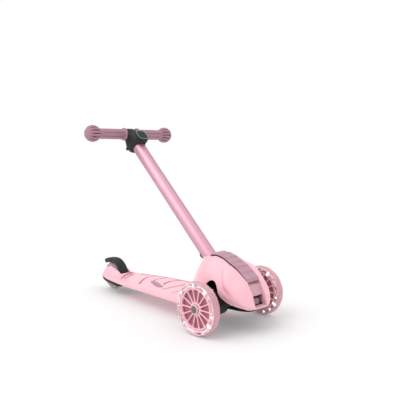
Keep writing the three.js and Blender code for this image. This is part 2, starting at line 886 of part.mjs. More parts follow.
// Bar, clamp and grips, around the bar's axis, level with the ground.
const barX = STEM_BASE[0] - STEM_LENGTH * Math.sin(RAKE);
const barZ = STEM_BASE[2] + STEM_LENGTH * Math.cos(RAKE);
const bar = new THREE.Group();
bar.position.set(barX, 0, barZ);
frame.add(bar);
{
  bar.add(
    piece(
      "handlebar_tube",
      turnY(
        [
          [BAR_R - 1.6, -140],
          [BAR_R, -140],
          [BAR_R, 140],
          [BAR_R - 1.6, 140],
        ],
        24,
      ),
      finish(0xb9bcc0, 0.4, 0.8),
    ),
  );
  const head = new THREE.Group(); // z along the stem, x forward and up
  head.rotation.y = -RAKE;
  bar.add(head);
  // Rounded outline with n points: centre and half sizes in two directions.
  const squircle = (n, k, u, v, a, b) =>
    [...Array(n).keys()].map((i) => {
      const t = (i / n) * 2 * Math.PI;
      const cs = Math.cos(t);
      const sn = Math.sin(t);
      return [
        u + a * Math.sign(cs) * Math.abs(cs) ** (2 / k),
        v + b * Math.sign(sn) * Math.abs(sn) ** (2 / k),
      ];
    });
  // Collar around the stem and the bar: z, back, front, half width.
  const collarAt = ([z, x0, x1, half]) =>
    squircle(20, 2.6, (x0 + x1) / 2, 0, (x1 - x0) / 2, half).map(([x, y]) => [x, y, z]);
  // Block that grows forward out of it: x, middle height, half height, half width.
  const blockAt = ([x, mid, high, half]) =>
    squircle(20, 2.8, 0, mid, half, high).map(([y, z]) => [x, y, z]);
  let clamp = solid(
    loft(
      [
        [-54.5, -19.5, 12, 19],
        [-52, -23.5, 18.5, 21.6],
        [-44, -27.5, 21.6, 23.8],
        [-32, -28, 22, 24],
        [-20, -25, 20, 21.6],
        [-8, -20, 17, 20.3],
        [4, -16, 15, 20.3],
        [12, -11.5, 11, 20.3],
        [15.4, -7, 7, 19.6],
      ].map(collarAt),
    ),
  );
  clamp = join(
    clamp,
    solid(
      loft(
        [
          [0, -29.5, 21.5, 19.5],
          [14, -35.5, 20.5, 22.6],
          [24, -39, 20, 21.4],
          [30, -40, 18.2, 18.4],
        ].map(blockAt),
      ),
    ),
  );
  clamp = cut(
    clamp,
    solid(rodY(BAR_R + GAP, -60, 60, 24)),
    solid(rodZ(STEM_R + GAP, -90, -(BAR_R + 1.9), 28)),
    // room for the grips' flanges
    solid(rodY(18.2, 20.4, 40, 24)),
    solid(rodY(18.2, -40, -20.4, 24)),
    // open front of the collar, where the stem shows
    solid(box(6, 22.5, -12.6, 12.6, -70, -49.6)),
    // split behind the stem
    solid(box(-40, -10, -0.9, 0.9, -70, -12)),
    // bore of the clamp bolt, with seats for its head and nut
    solid(moved(rodY(2.9, -40, 40, 12), -22.4, 0, -36)),
    solid(moved(rodY(5.6, 16.2, 40, 16), -22.4, 0, -36)),
    solid(moved(rodY(5.6, -40, -16.2, 16), -22.4, 0, -36)),
  );
  head.add(piece("clamp_body", clamp, BLACK()));
  head.add(
    piece(
      "clamp_bolt",
      moved(
        turnY(
          [
            [0, -20.3],
            [5, -20.3],
            [5, -16.5],
            [2.5, -16.5],
            [2.5, 20],
            [0, 20],
          ],
          12,
        ),
        -22.4,
        0,
        -36,
      ),
      STEEL(),
    ),
  );
  head.add(
    piece(
      "clamp_nut",
      cut(
        solid(moved(rodY(5.1, 16.5, 19.8, 6), -22.4, 0, -36)),
        solid(moved(rodY(2.9, 10, 30, 12), -22.4, 0, -36)),
      ),
      STEEL(),
    ),
  );
  // Cap on the front, a rounded shield, with a bare badge on its face.
  const shield = (x, w, h) => squircle(20, 3, 0, -40, w, h).map(([y, z]) => [x, y, z]);
  head.add(
    piece(
      "clamp_cap",
      loft([
        shield(30.3, 17.6, 17.6),
        shield(31.2, 18.9, 18.9),
        shield(33.6, 18.9, 18.9),
        shield(34.8, 17.8, 17.8),
      ]),
      BLACK(),
    ),
  );
  head.add(
    piece(
      "clamp_badge",
      loft([shield(35.1, 15.6, 15.6), shield(36, 15.6, 15.6), shield(36.7, 14.6, 14.6)]),
      finish(0x3a3d40, 0.45),
    ),
  );

  // Grips: flange, shaft, flared ball with a blunt end.
  const grip = (side) => {
    const ball = [];
    for (let i = 0; i <= 7; i++) {
      const a = THREE.MathUtils.degToRad(-52 + (142 * i) / 7);
      ball.push([BALL_R * Math.cos(a), BAR_HALF + BALL_R * Math.sin(a)]);
    }
    ball[ball.length - 1][0] = 0;
    const profile = [
      [BAR_R + GAP, 20.7],
      [17.8, 20.7],
      [17.8, 25],
      [GRIP_R, 27],
      [GRIP_R, 101],
      ...ball,
      [0, 140.6],
      [BAR_R + GAP, 140.6],
    ];
    return turnY(profile.map(([r, y]) => [r, side * y]), 20);
  };
  bar.add(piece("grip_right", grip(-1), MAUVE()));
  bar.add(piece("grip_left", grip(1), MAUVE()));
}

// ---------------------------------------------------------------- front axle beam
const beamGroup = new THREE.Group();
frame.add(beamGroup);
{
  let beam = solid(alongPivot(rodZ(15, -20, 20, 24)));
  beam = join(beam, solid(box(-12.5, 12.5, -31, 31, 53, 79)));
  for (const side of [-1, 1]) {
    const section = (y, hx, low, high) => {
      const c = Math.min(hx, 7);
      return [
        [-hx + c, low],
        [hx - c, low],
        [hx, low + c],
        [hx, high - c],
        [hx - c, high],
        [-hx + c, high],
        [-hx, high - c],
        [-hx, low + c],
      ].map(([x, z]) => [x, side * y, z]);
    };
    beam = join(
      beam,
      solid(
        loft([
          section(27, 13, 40, 84),
          section(34, 15.5, 37, 88),
          section(60, 16, 36, 91),
          section(82, 15, 40, 86),
          section(97, 12.5, 46, 79),
        ]),
      ),
      solid(moved(rodY(10, side > 0 ? 95 : -106.1, side > 0 ? 106.1 : -95, 20), 0, 0, WHEEL_R)),
    );
    beam = cut(
      beam,
      solid(moved(rodY(AXLE_R + GAP, side > 0 ? 36 : -120, side > 0 ? 120 : -36, 16), 0, 0, WHEEL_R)),
    );
  }
  beam = cut(beam, solid(alongPivot(rodZ(KINGPIN_R + 0.35, -40, 40, 20))));
  beamGroup.add(piece("axle_beam", beam, BLACK()));
}

// ---------------------------------------------------------------- wheels
function bearing(y0) {
  return turnY(
    [
      [4.25, y0],
      [BEARING_R, y0],
      [BEARING_R, y0 + BEARING_W],
      [4.25, y0 + BEARING_W],
    ],
    20,
  );
}

// Parts of one front wheel, drawn around y with the outer face towards -y for the right wheel.
function frontWheel(side, tag) {
  const group = new THREE.Group();
  group.position.set(0, side * TRACK_HALF, WHEEL_R);
  const out = (y) => side * y; // towards the outer face
  const w = WHEEL_W / 2;

  group.add(
    piece(
      "tyre_" + tag,
      turnY(
        [
          [LED_R + 0.4, -6.4],
          [LED_R + 0.4, 6.4],
          [RIM_R + GAP, 6.4],
          [RIM_R + GAP, w - 1.6],
          [54.5, w],
          [60, w - 3.4],
          [WHEEL_R, w - 8.4],
          [WHEEL_R, -w + 8.4],
          [60, -w + 3.4],
          [54.5, -w],
          [RIM_R + GAP, -w + 1.6],
          [RIM_R + GAP, -6.4],
        ],
        32,
      ),
      finish(0xf6b9c6, 0.25, 0, { transparent: true, opacity: 0.6 }),
    ),
  );
  group.add(
    piece(
      "led_ring_" + tag,
      turnY(
        [
          [RIM_R + GAP, -6],
          [LED_R, -6],
          [LED_R, 6],
          [RIM_R + GAP, 6],
        ],
        32,
      ),
      finish(0xf4f4f6, 0.3),
    ),
  );
  // Hub: rim, boss and spokes.
  const rim = solid(
    turnY(
      [
        [44.6, -9.4],
        [RIM_R, -9.4],
        [RIM_R, 9.4],
        [44.6, 9.4],
      ],
      32,
    ),
  );
  const boss = solid(rodY(15.2, -8.5, 8.5, 20));
  let hub = join(rim, boss);
  // Web that closes the gaps between the spokes.
  hub = join(
    hub,
    solid(
      turnY(
        [
          [14, -1.2],
          [45.4, -1.2],
          [45.4, 1.2],
          [14, 1.2],
        ],
        32,
      ),
    ),
  );
  for (let i = 0; i < SPOKES; i++) {
    const spoke = new THREE.BoxGeometry(34, 15, 3.4)
      .translate(30, 0, 0)
      .rotateY((i / SPOKES) * 2 * Math.PI);
    hub = join(hub, solid(spoke));
  }
  hub = cut(
    hub,
    solid(rodY(BEARING_R + GAP, 1.6, 12, 24)),
    solid(rodY(BEARING_R + GAP, -12, -1.6, 24)),
    solid(rodY(8.4, -12, 12, 20)),
  );
  group.add(piece("hub_" + tag, hub, PINK()));
  group.add(piece("bearing_outer_" + tag, bearing(out(1) > 0 ? 1.9 : -8.9), STEEL()));
  group.add(piece("bearing_inner_" + tag, bearing(out(1) > 0 ? -8.9 : 1.9), STEEL()));
  group.add(
    piece(
      "spacer_" + tag,
      turnY(
        [
          [4.25, -1.6],
          [6.2, -1.6],
          [6.2, 1.6],
          [4.25, 1.6],
        ],
        16,
      ),
      finish(0xd7d9dc, 0.4, 0.6),
    ),
  );
  // Cap over the end of the axle.
  group.add(
    piece(
      "hub_cap_" + tag,
      turnY(
        [
          [0, out(12.6)],
          [8.2, out(12.6)],
          [8.2, out(9.2)],
          [11, out(9.2)],
          [11, out(11.6)],
          [9.4, out(13)],
          [0, out(14)],
        ],
        18,
      ),
      finish(0x8d9190, 0.5, 0.3),
    ),
  );
  return group;
}
beamGroup.add(frontWheel(-1, "right"), frontWheel(1, "left"));

// Stub axles in the beam, with a head under each hub cap.
for (const [name, side] of [
  ["axle_right", -1],
  ["axle_left", 1],
])
  beamGroup.add(
    piece(
      name,
      moved(
        turnY(
          [
            [0, 40],
            [AXLE_R, 40],
            [AXLE_R, TRACK_HALF + 9.2],
            [6.6, TRACK_HALF + 9.2],
            [6.6, TRACK_HALF + 12.2],
            [0, TRACK_HALF + 12.2],
          ].map(([r, y]) => [r, side * y]),
          16,
        ),
        0,
        0,
        WHEEL_R,
      ),
      STEEL(),
    ),
  );

// Rear wheel on a plain pin.
const rear = new THREE.Group();
rear.position.set(-WHEELBASE, 0, REAR_R);
frame.add(rear);
{
  const w = REAR_W / 2;
  rear.add(
    piece(
      "rear_tyre",
      turnY(
        [
          [29.3, -w + 2],
          [29.3, w - 2],
          [33, w],
          [38, w - 3.4],
          [REAR_R, w - 8.6],
          [REAR_R, -w + 8.6],
          [38, -w + 3.4],
          [33, -w],
        ],
        28,
      ),
      finish(0xcfc8cc, 0.3, 0, { transparent: true, opacity: 0.7 }),
    ),
  );
  let hub = solid(
    turnY(
      [
        [8.4, -1.6],
        [8.4, 1.6],
        [BEARING_R + GAP, 1.6],
        [BEARING_R + GAP, 9.3],
        [14.6, 9.3],
        [15.4, 3.4],
        [25, 3.4],
        [25.6, 9.6],
        [29, 9.6],
        [29, -9.6],
        [25.6, -9.6],
        [25, -3.4],
        [15.4, -3.4],
        [14.6, -9.3],
        [BEARING_R + GAP, -9.3],
        [BEARING_R + GAP, -1.6],
      ],
      20,
    ),
  );
  rear.add(piece("rear_hub", hub, PINK()));
  rear.add(piece("rear_bearing_right", bearing(-8.9), STEEL()));
  rear.add(piece("rear_bearing_left", bearing(1.9), STEEL()));
  rear.add(
    piece(
      "rear_spacer",
      turnY(
        [
          [4.25, -1.6],
          [6.2, -1.6],
          [6.2, 1.6],
          [4.25, 1.6],
        ],
        16,
      ),
      finish(0xd7d9dc, 0.4, 0.6),
    ),
  );
  // Plain pin; the deck's bosses keep the wheel in the middle of the slot.
  frame.add(
    piece("rear_axle", moved(rodY(AXLE_R, -30, 30, 16), -WHEELBASE, 0, REAR_R), STEEL()),
  );
}

// ---------------------------------------------------------------- rear brake
{
  // Middle line of the fender, from its hinge over the wheel to the tip, with half width and thickness.
  const rows = [
    [-429.7, 46, 15.4, 5],
    [-430.6, 53, 16.2, 4.8],
    [-433, 61, 16.4, 4.5],
    [-438, 70, 16.2, 4.3],
    [-446, 79, 15.8, 4.2],
    [-457, 86.7, 15.4, 4],
    [-469, 90.8, 15, 4],
    [-482, 91.4, 14.6, 4],
    [-495, 88.6, 14.2, 4],
    [-507, 83.6, 13.4, 4],
    [-517, 79.2, 12.4, 3.8],
    [-526.2, 76.4, 10, 3.4],
  ];
  const sections = rows.map(([x, z, hw, t], i) => {
    const [xa, za] = rows[Math.max(0, i - 1)];
    const [xb, zb] = rows[Math.min(rows.length - 1, i + 1)];
    const l = Math.hypot(xb - xa, zb - za);
    const nx = (zb - za) / l;
    const nz = -(xb - xa) / l; // outward, away from the wheel
    const at = (y, d) => [x + nx * d, y, z + nz * d];
    return [
      at(-hw, -t / 2 - 1.6),
      at(-hw + 2.4, -t / 2),
      at(hw - 2.4, -t / 2),
      at(hw, -t / 2 - 1.6),
      at(hw, t / 2 - 2.2),
      at(hw * 0.72, t / 2 - 0.4),
      at(0, t / 2 + 0.5),
      at(-hw * 0.72, t / 2 - 0.4),
      at(-hw, t / 2 - 2.2),
    ];
  });
  let fender = solid(loft(sections));
  // Hinge barrel at the foot.
  fender = join(fender, solid(moved(rodY(5.4, -15.6, -6.4, 16), BRAKE_X, 0, BRAKE_Z)), solid(moved(rodY(5.4, 6.4, 15.6, 16), BRAKE_X, 0, BRAKE_Z)));
  fender = cut(
    fender,
    solid(moved(rodY(2.6 + GAP, -30, 30, 16), BRAKE_X, 0, BRAKE_Z)),
    solid(moved(rodY(6.4, -6.1, 6.1, 16), BRAKE_X, 0, BRAKE_Z)),
  );
  frame.add(piece("brake_fender", fender, BLACK()));
  // Shoe under the fender.
  const arc = (r, a0, a1, n) =>
    [...Array(n + 1).keys()].map((i) => {
      const a = THREE.MathUtils.degToRad(a0 + ((a1 - a0) * i) / n);
      return [-WHEELBASE + r * Math.cos(a), REAR_R + r * Math.sin(a)];
    });
  let shoe = solid(plateXZ([...arc(44.6, 62, 98, 5), ...arc(48.3, 98, 62, 5)], -9, 9));
  frame.add(piece("brake_shoe", shoe, finish(0x6d7072, 0.6)));
  frame.add(
    piece(
      "brake_pin",
      moved(rodY(2.6, -24.6, 24.6, 12), BRAKE_X, 0, BRAKE_Z),
      STEEL(),
    ),
  );
  frame.add(
    piece(
      "brake_spring",
      moved(
        turnY(
          [
            [3.1, -5.8],
            [4.9, -5.8],
            [4.9, 5.8],
            [3.1, 5.8],
          ],
          16,
        ),
        BRAKE_X,
        0,
        BRAKE_Z,
      ),
      STEEL(),
    ),
  );
}

export default scooter;
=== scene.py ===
import math

import bmesh
import bpy
import numpy as np
from mathutils import Matrix, Vector


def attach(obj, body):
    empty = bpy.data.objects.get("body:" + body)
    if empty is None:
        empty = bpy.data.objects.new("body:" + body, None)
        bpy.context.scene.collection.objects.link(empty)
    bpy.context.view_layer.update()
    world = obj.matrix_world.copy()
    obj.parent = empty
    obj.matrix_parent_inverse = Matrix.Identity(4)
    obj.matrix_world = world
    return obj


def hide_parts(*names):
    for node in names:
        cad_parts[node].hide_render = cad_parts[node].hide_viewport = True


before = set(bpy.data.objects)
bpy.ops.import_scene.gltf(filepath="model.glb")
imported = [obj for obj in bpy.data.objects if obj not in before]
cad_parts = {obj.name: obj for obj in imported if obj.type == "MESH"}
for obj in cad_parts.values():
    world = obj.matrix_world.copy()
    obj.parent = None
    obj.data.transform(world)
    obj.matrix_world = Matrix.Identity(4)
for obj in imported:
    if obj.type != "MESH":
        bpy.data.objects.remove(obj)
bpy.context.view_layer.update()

# Looks of a child's three wheel scooter. Lengths below are millimetres, measured along x from the front axle
# (forward), across in y (to the rider's left) and up in z; to_row turns them into the frame's metres.
scene = bpy.context.scene
AXLE_X = 217.2
WHEEL_R, TRACK, RIM_R = 62.5, 115.3, 48.7
REAR_X, REAR_R = -478.0, 40.0
RAKE = math.radians(45.9)
STEM_BASE = np.array([-75.6, 0.0, 157.9])
STEM_LENGTH = 439.2
EX = np.array([math.cos(RAKE), 0.0, math.sin(RAKE)])  # away from the deck, square to the stem
EZ = np.array([-math.sin(RAKE), 0.0, math.cos(RAKE)])  # up the stem
EY = np.array([0.0, 1.0, 0.0])
BAR = STEM_BASE + STEM_LENGTH * EZ


# ------------------------------------------------------------------ shape helpers
def to_row(points):
    return (np.asarray(points, float).reshape(-1, 3) + (AXLE_X, 0, 0)) / 1000


def from_stem(points, origin=BAR):
    p = np.asarray(points, float).reshape(-1, 3)
    return origin + p[:, :1] * EX + p[:, 1:2] * EY + p[:, 2:] * EZ


def step(a, b, t):
    """0 below a, 1 above b, smooth between."""
    s = np.clip((np.asarray(t, float) - a) / (b - a), 0, 1)
    return s * s * (3 - 2 * s)


def curve_through(xs, rows, at):
    """Cubic through the rows at xs that keeps their rises and falls, read at the points at."""
    xs, v = np.asarray(xs, float), np.asarray(rows, float)
    flat = v.ndim == 1
    if flat:
        v = v[:, None]
    h = np.diff(xs)[:, None]
    d = np.diff(v, axis=0) / h
    m = np.zeros_like(v)
    m[0], m[-1] = d[0], d[-1]
    a, b = d[:-1], d[1:]
    w1, w2 = 2 * h[1:] + h[:-1], h[1:] + 2 * h[:-1]
    with np.errstate(all="ignore"):
        mean = (w1 + w2) / (w1 / a + w2 / b)
    m[1:-1] = np.where(a * b > 0, np.nan_to_num(mean), 0)
    at = np.clip(np.asarray(at, float), xs[0], xs[-1])
    i = np.clip(np.searchsorted(xs, at, side="right") - 1, 0, len(xs) - 2)
    H = h[i]
    t = ((at - xs[i]) / H[:, 0])[:, None]
    out = (
        v[i] * (2 * t**3 - 3 * t**2 + 1)
        + H * m[i] * (t**3 - 2 * t**2 + t)
        + v[i + 1] * (3 * t**2 - 2 * t**3)
        + H * m[i + 1] * (t**3 - t**2)
    )
    return out[:, 0] if flat else out


def rounded(points, radius, closed=True, steps=4):
    """Outline with its corners rounded by curves that start radius before each."""
    pts = [np.asarray(p, float) for p in points]
    out = []
    for i, p in enumerate(pts):
        if not closed and i in (0, len(pts) - 1):
            out.append(p)
            continue
        a, b = pts[i - 1], pts[(i + 1) % len(pts)]
        la, lb = np.linalg.norm(a - p), np.linalg.norm(b - p)
        r = radius[i] if isinstance(radius, (list, tuple)) else radius
        k = min(r, la * 0.48, lb * 0.48)
        if k < 1e-4:
            out.append(p)
            continue
        s, e = p + (a - p) / la * k, p + (b - p) / lb * k
        for t in np.linspace(0, 1, steps + 1):
            out.append((1 - t) ** 2 * s + 2 * t * (1 - t) * p + t * t * e)
    return out


def object_from(name, verts, faces, row=False):
    me = bpy.data.meshes.new(name)
    me.from_pydata((np.asarray(verts) if row else to_row(verts)).tolist(), [], faces)
    bm = bmesh.new()
    bm.from_mesh(me)
    bmesh.ops.remove_doubles(bm, verts=bm.verts, dist=1e-7)
    bmesh.ops.dissolve_degenerate(bm, edges=bm.edges, dist=1e-8)
    bmesh.ops.recalc_face_normals(bm, faces=bm.faces)
    bm.to_mesh(me)
    bm.free()
    ob = bpy.data.objects.new(name, me)
    scene.collection.objects.link(ob)
    return ob


def ring_body(name, rings):
    """Closed body through rings of equal length, capped at both ends."""
    n, m = len(rings), len(rings[0])
    faces = [
        (i * m + j, i * m + (j + 1) % m, (i + 1) * m + (j + 1) % m, (i + 1) * m + j)
        for i in range(n - 1)
        for j in range(m)
    ]
    faces.append(tuple(reversed(range(m))))
    faces.append(tuple((n - 1) * m + j for j in range(m)))
    return object_from(name, np.concatenate([np.asarray(r, float) for r in rings]), faces)


def turned(name, profile, centre=(0, 0, 0), seg=96, frame_of=None, shape=None):
    """Body of revolution about y (or about the stem with frame_of) from [radius, along] points. A profile that starts and ends on the axis is open there, any other is closed on itself. shape(radius, along, angle) may change the radius."""
    prof = np.asarray(profile, float)
    open_ends = abs(prof[0, 0]) < 1e-6 and abs(prof[-1, 0]) < 1e-6
    n = len(prof)
    a = np.arange(seg) / seg * 2 * math.pi
    r = prof[:, 0][:, None] * np.ones(seg)
    h = prof[:, 1][:, None] * np.ones(seg)
    if shape is not None:
        r = shape(r, h, np.ones((n, 1)) * a)
    if frame_of is None:
        pts = np.stack([r * np.cos(a), h, r * np.sin(a)], -1).reshape(-1, 3) + np.asarray(centre, float)
    else:
        pts = from_stem(np.stack([r * np.cos(a), r * np.sin(a), h], -1).reshape(-1, 3), frame_of)
    faces = [
        (i * seg + j, i * seg + (j + 1) % seg, ((i + 1) % n) * seg + (j + 1) % seg, ((i + 1) % n) * seg + j)
        for i in range(n - 1 if open_ends else n)
        for j in range(seg)
    ]
    return object_from(name, pts, faces)


def prism_xz(outline, y0, y1, name="tool"):
    return ring_body(name, [[(x, y, z) for x, z in outline] for y in (y0, y1)])


def prism_xy(outline, z0, z1, name="tool"):
    return ring_body(name, [[(x, y, z) for x, y in outline] for z in (z0, z1)])


def block(x0, x1, y0, y1, z0, z1, name="tool"):
    return prism_xz([(x0, z0), (x1, z0), (x1, z1), (x0, z1)], y0, y1, name)


def rod_y(r, y0, y1, x=0, z=0, seg=48, name="tool"):
    return turned(name, [[0, y0], [r, y0], [r, y1], [0, y1]], (x, 0, z), seg)


def stem_rod(r, z0, z1, origin=BAR, seg=64, name="tool"):
    return turned(name, [[0, z0], [r, z0], [r, z1], [0, z1]], seg=seg, frame_of=origin)


def stem_block(x0, x1, y0, y1, z0, z1, origin=BAR, name="tool"):
    rings = [from_stem([(x0, y, z0), (x1, y, z0), (x1, y, z1), (x0, y, z1)], origin) for y in (y0, y1)]
    return ring_body(name, rings)


def settle(ob):
    """Applies the modifiers."""
    dg = bpy.context.evaluated_depsgraph_get()
    me = bpy.data.meshes.new_from_object(ob.evaluated_get(dg), depsgraph=dg)
    old = ob.data
    ob.modifiers.clear()
    ob.data = me
    bpy.data.meshes.remove(old)
    return ob


def bool_with(ob, tools, operation="DIFFERENCE"):
    for tool in tools:
        m = ob.modifiers.new("cut", "BOOLEAN")
        m.operation, m.solver, m.object = operation, "EXACT", tool
        settle(ob)
        me = tool.data
        bpy.data.objects.remove(tool)
        bpy.data.meshes.remove(me)
    return ob


def joined(name, obs):
    """One object that holds the meshes of several."""
    bm = bmesh.new()
    for o in obs:
        bm.from_mesh(o.data)
    me = bpy.data.meshes.new(name)
    bm.to_mesh(me)
    bm.free()
    for o in obs:
        old = o.data
        bpy.data.objects.remove(o)
        bpy.data.meshes.remove(old)
    ob = bpy.data.objects.new(name, me)
    scene.collection.objects.link(ob)
    return ob


def melted(ob, voxel, rounds=3, amount=0.5):
    """Overlapping closed shapes become one skin with soft inner corners, as a moulding has."""
    m = ob.modifiers.new("skin", "REMESH")
    m.mode, m.voxel_size, m.adaptivity = "VOXEL", voxel / 1000, 0.0
    m.use_smooth_shade = True
    s = ob.modifiers.new("soft", "SMOOTH")
    s.factor, s.iterations = amount, rounds
    return settle(ob)


def smooth_shading(ob, angle=35):
    ob.data.shade_smooth()
    ob.data.set_sharp_from_angle(angle=math.radians(angle))


def soften(ob, width, segments=2, angle=38):
    b = ob.modifiers.new("edge", "BEVEL")
    b.width, b.segments, b.limit_method = width / 1000, segments, "ANGLE"
    b.angle_limit, b.use_clamp_overlap, b.miter_outer = math.radians(angle), True, "MITER_ARC"
    return ob


def dress(ob, body, material, nodes=(), angle=35):
    smooth_shading(ob, angle)
    kept = np.zeros(len(ob.data.polygons), np.int32)
    ob.data.polygons.foreach_get("material_index", kept)
    ob.data.materials.clear()
    kinds = material if isinstance(material, (list, tuple)) else [material]
    for m in kinds:
        ob.data.materials.append(m)
    ob.data.polygons.foreach_set("material_index", np.minimum(kept, len(kinds) - 1))
    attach(ob, body)
    if nodes:
        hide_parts(*nodes)
    return ob


def centres(ob):
    """Middles of the faces, in millimetres from the front axle."""
    out = np.zeros(len(ob.data.polygons) * 3, np.float32)
    ob.data.polygons.foreach_get("center", out)
    return out.reshape(-1, 3).astype(float) * 1000 - (AXLE_X, 0, 0)


def refined(node, name, body, material, bevel=0.5, segments=2, angle=32):
    """A CAD solid's own shape as one clean skin with rounded edges."""
    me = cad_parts[node].data.copy()
    bm = bmesh.new()
    bm.from_mesh(me)
    bmesh.ops.remove_doubles(bm, verts=bm.verts, dist=2e-6)
    bmesh.ops.dissolve_limit(bm, angle_limit=math.radians(1.0), verts=bm.verts, edges=bm.edges)
    bmesh.ops.recalc_face_normals(bm, faces=bm.faces)
    bm.to_mesh(me)
    bm.free()
    me.name = name
    ob = bpy.data.objects.new(name, me)
    scene.collection.objects.link(ob)
    if bevel:
        soften(ob, bevel, segments, angle)
        settle(ob)
    return dress(ob, body, material, [node], 30)


# ------------------------------------------------------------------ materials
def linear(r, g, b):
    out = []
    for c in (r, g, b):
        c /= 255
        out.append(c / 12.92 if c <= 0.04045 else ((c + 0.055) / 1.055) ** 2.4)
    return (*out, 1.0)


def tinted(rgb, k):
    return tuple(min(1.0, c * k) for c in rgb[:3]) + (1.0,)


class Stuff:
    """A node material: two close tones in soft clouds, a grain in the bump, uneven gloss, and rubbed edges."""

    def __init__(self, name, tone, dark=0.94, light=1.03, cloud=24.0, rough=(0.4, 0.5), rough_scale=60.0,
                 grain=1400.0, grain_depth=0.05, grain_strength=0.25, wave=0.0, wear=0.0, wear_tone=None,
                 metallic=0.0, specular=0.5, coat=0.0, coat_rough=0.1, sheen=0.0, subsurface=0.0,
                 transmission=0.0, ior=1.48, scratches=0.0):
        m = bpy.data.materials.new(name)
        m.use_nodes = True
        t = m.node_tree
        t.nodes.clear()
        self.material, self.tree = m, t
        out = t.nodes.new("ShaderNodeOutputMaterial")
        b = t.nodes.new("ShaderNodeBsdfPrincipled")
        self.shader = b
        t.links.new(b.outputs[0], out.inputs[0])
        b.inputs["Metallic"].default_value = metallic
        b.inputs["Specular IOR Level"].default_value = specular
        b.inputs["Coat Weight"].default_value = coat
        b.inputs["Coat Roughness"].default_value = coat_rough
        b.inputs["Sheen Weight"].default_value = sheen
        b.inputs["Sheen Roughness"].default_value = 0.5
        b.inputs["Subsurface Weight"].default_value = subsurface
        b.inputs["Subsurface Radius"].default_value = (1.0, 0.45, 0.4)
        b.inputs["Subsurface Scale"].default_value = 0.004
        b.inputs["Transmission Weight"].default_value = transmission
        b.inputs["IOR"].default_value = ior
        coord = t.nodes.new("ShaderNodeTexCoord")
        self.coord = coord.outputs["Object"]
        # colour
        clouds = self.noise(cloud, 3.0, 0.55)
        ramp = t.nodes.new("ShaderNodeValToRGB")
        ramp.color_ramp.elements[0].position, ramp.color_ramp.elements[1].position = 0.3, 0.7
        ramp.color_ramp.elements[0].color = tinted(tone, dark)
        ramp.color_ramp.elements[1].color = tinted(tone, light)
        t.links.new(clouds, ramp.inputs[0])
        colour = ramp.outputs[0]
        speck = self.noise(grain * 0.6, 2.0, 0.6)
        colour = self.mixed(colour, tinted(tone, 0.86), speck, 0.62, 0.8, 0.35)
        if wear:
            geo = t.nodes.new("ShaderNodeNewGeometry")
            edge = t.nodes.new("ShaderNodeMapRange")
            edge.inputs[1].default_value, edge.inputs[2].default_value = 0.53, 0.62
            t.links.new(geo.outputs["Pointiness"], edge.inputs[0])
            patch = self.noise(140.0, 4.0, 0.6)
            pm = t.nodes.new("ShaderNodeMapRange")
            pm.inputs[1].default_value, pm.inputs[2].default_value = 0.42, 0.66
            t.links.new(patch, pm.inputs[0])
            mul = t.nodes.new("ShaderNodeMath")
            mul.operation = "MULTIPLY"
            t.links.new(edge.outputs[0], mul.inputs[0])
            t.links.new(pm.outputs[0], mul.inputs[1])
            colour = self.mixed(colour, wear_tone or tinted(tone, 1.25), mul.outputs[0], 0.0, 1.0, wear)
        t.links.new(colour, b.inputs["Base Color"])
        self.colour = colour
        # gloss
        gloss = self.noise(rough_scale, 4.0, 0.6)
        mr = t.nodes.new("ShaderNodeMapRange")
        mr.inputs[1].default_value, mr.inputs[2].default_value = 0.3, 0.7
        mr.inputs[3].default_value, mr.inputs[4].default_value = rough
        t.links.new(gloss, mr.inputs[0])
        t.links.new(mr.outputs[0], b.inputs["Roughness"])
        # surface
        fine = self.noise(grain, 2.0, 0.6)
        height = fine
        if wave:
            slow = self.noise(70.0, 2.0, 0.5)
            add = t.nodes.new("ShaderNodeMath")
            add.operation = "MULTIPLY_ADD"
            add.inputs[1].default_value = wave
            t.links.new(slow, add.inputs[0])
            t.links.new(fine, add.inputs[2])
            height = add.outputs[0]
        if scratches:
            mp = t.nodes.new("ShaderNodeMapping")
            mp.inputs["Scale"].default_value = (30, 1500, 900)
            t.links.new(self.coord, mp.inputs[0])
            lines = t.nodes.new("ShaderNodeTexNoise")
            lines.inputs["Scale"].default_value = 1.0
            lines.inputs["Detail"].default_value = 3.0
            t.links.new(mp.outputs[0], lines.inputs[0])
            add = t.nodes.new("ShaderNodeMath")
            add.operation = "MULTIPLY_ADD"
            add.inputs[1].default_value = scratches
            t.links.new(lines.outputs[0], add.inputs[0])
            t.links.new(height, add.inputs[2])
            height = add.outputs[0]
        bump = t.nodes.new("ShaderNodeBump")
        bump.inputs["Strength"].default_value = grain_strength
        bump.inputs["Distance"].default_value = grain_depth / 1000
        t.links.new(height, bump.inputs["Height"])
        t.links.new(bump.outputs[0], b.inputs["Normal"])

    def noise(self, scale, detail, rough):
        n = self.tree.nodes.new("ShaderNodeTexNoise")
        n.inputs["Scale"].default_value = scale
        n.inputs["Detail"].default_value = detail
        n.inputs["Roughness"].default_value = rough
        self.tree.links.new(self.coord, n.inputs[0])
        return n.outputs[0]

    def mixed(self, colour, other, factor, low, high, most):
        t = self.tree
        mr = t.nodes.new("ShaderNodeMapRange")
        mr.inputs[1].default_value, mr.inputs[2].default_value = low, high
        mr.inputs[3].default_value, mr.inputs[4].default_value = 0.0, most
        t.links.new(factor, mr.inputs[0])
        mix = t.nodes.new("ShaderNodeMix")
        mix.data_type = "RGBA"
        t.links.new(mr.outputs[0], mix.inputs["Factor"])
        t.links.new(colour, mix.inputs[6])
        mix.inputs[7].default_value = other
        return mix.outputs[2]


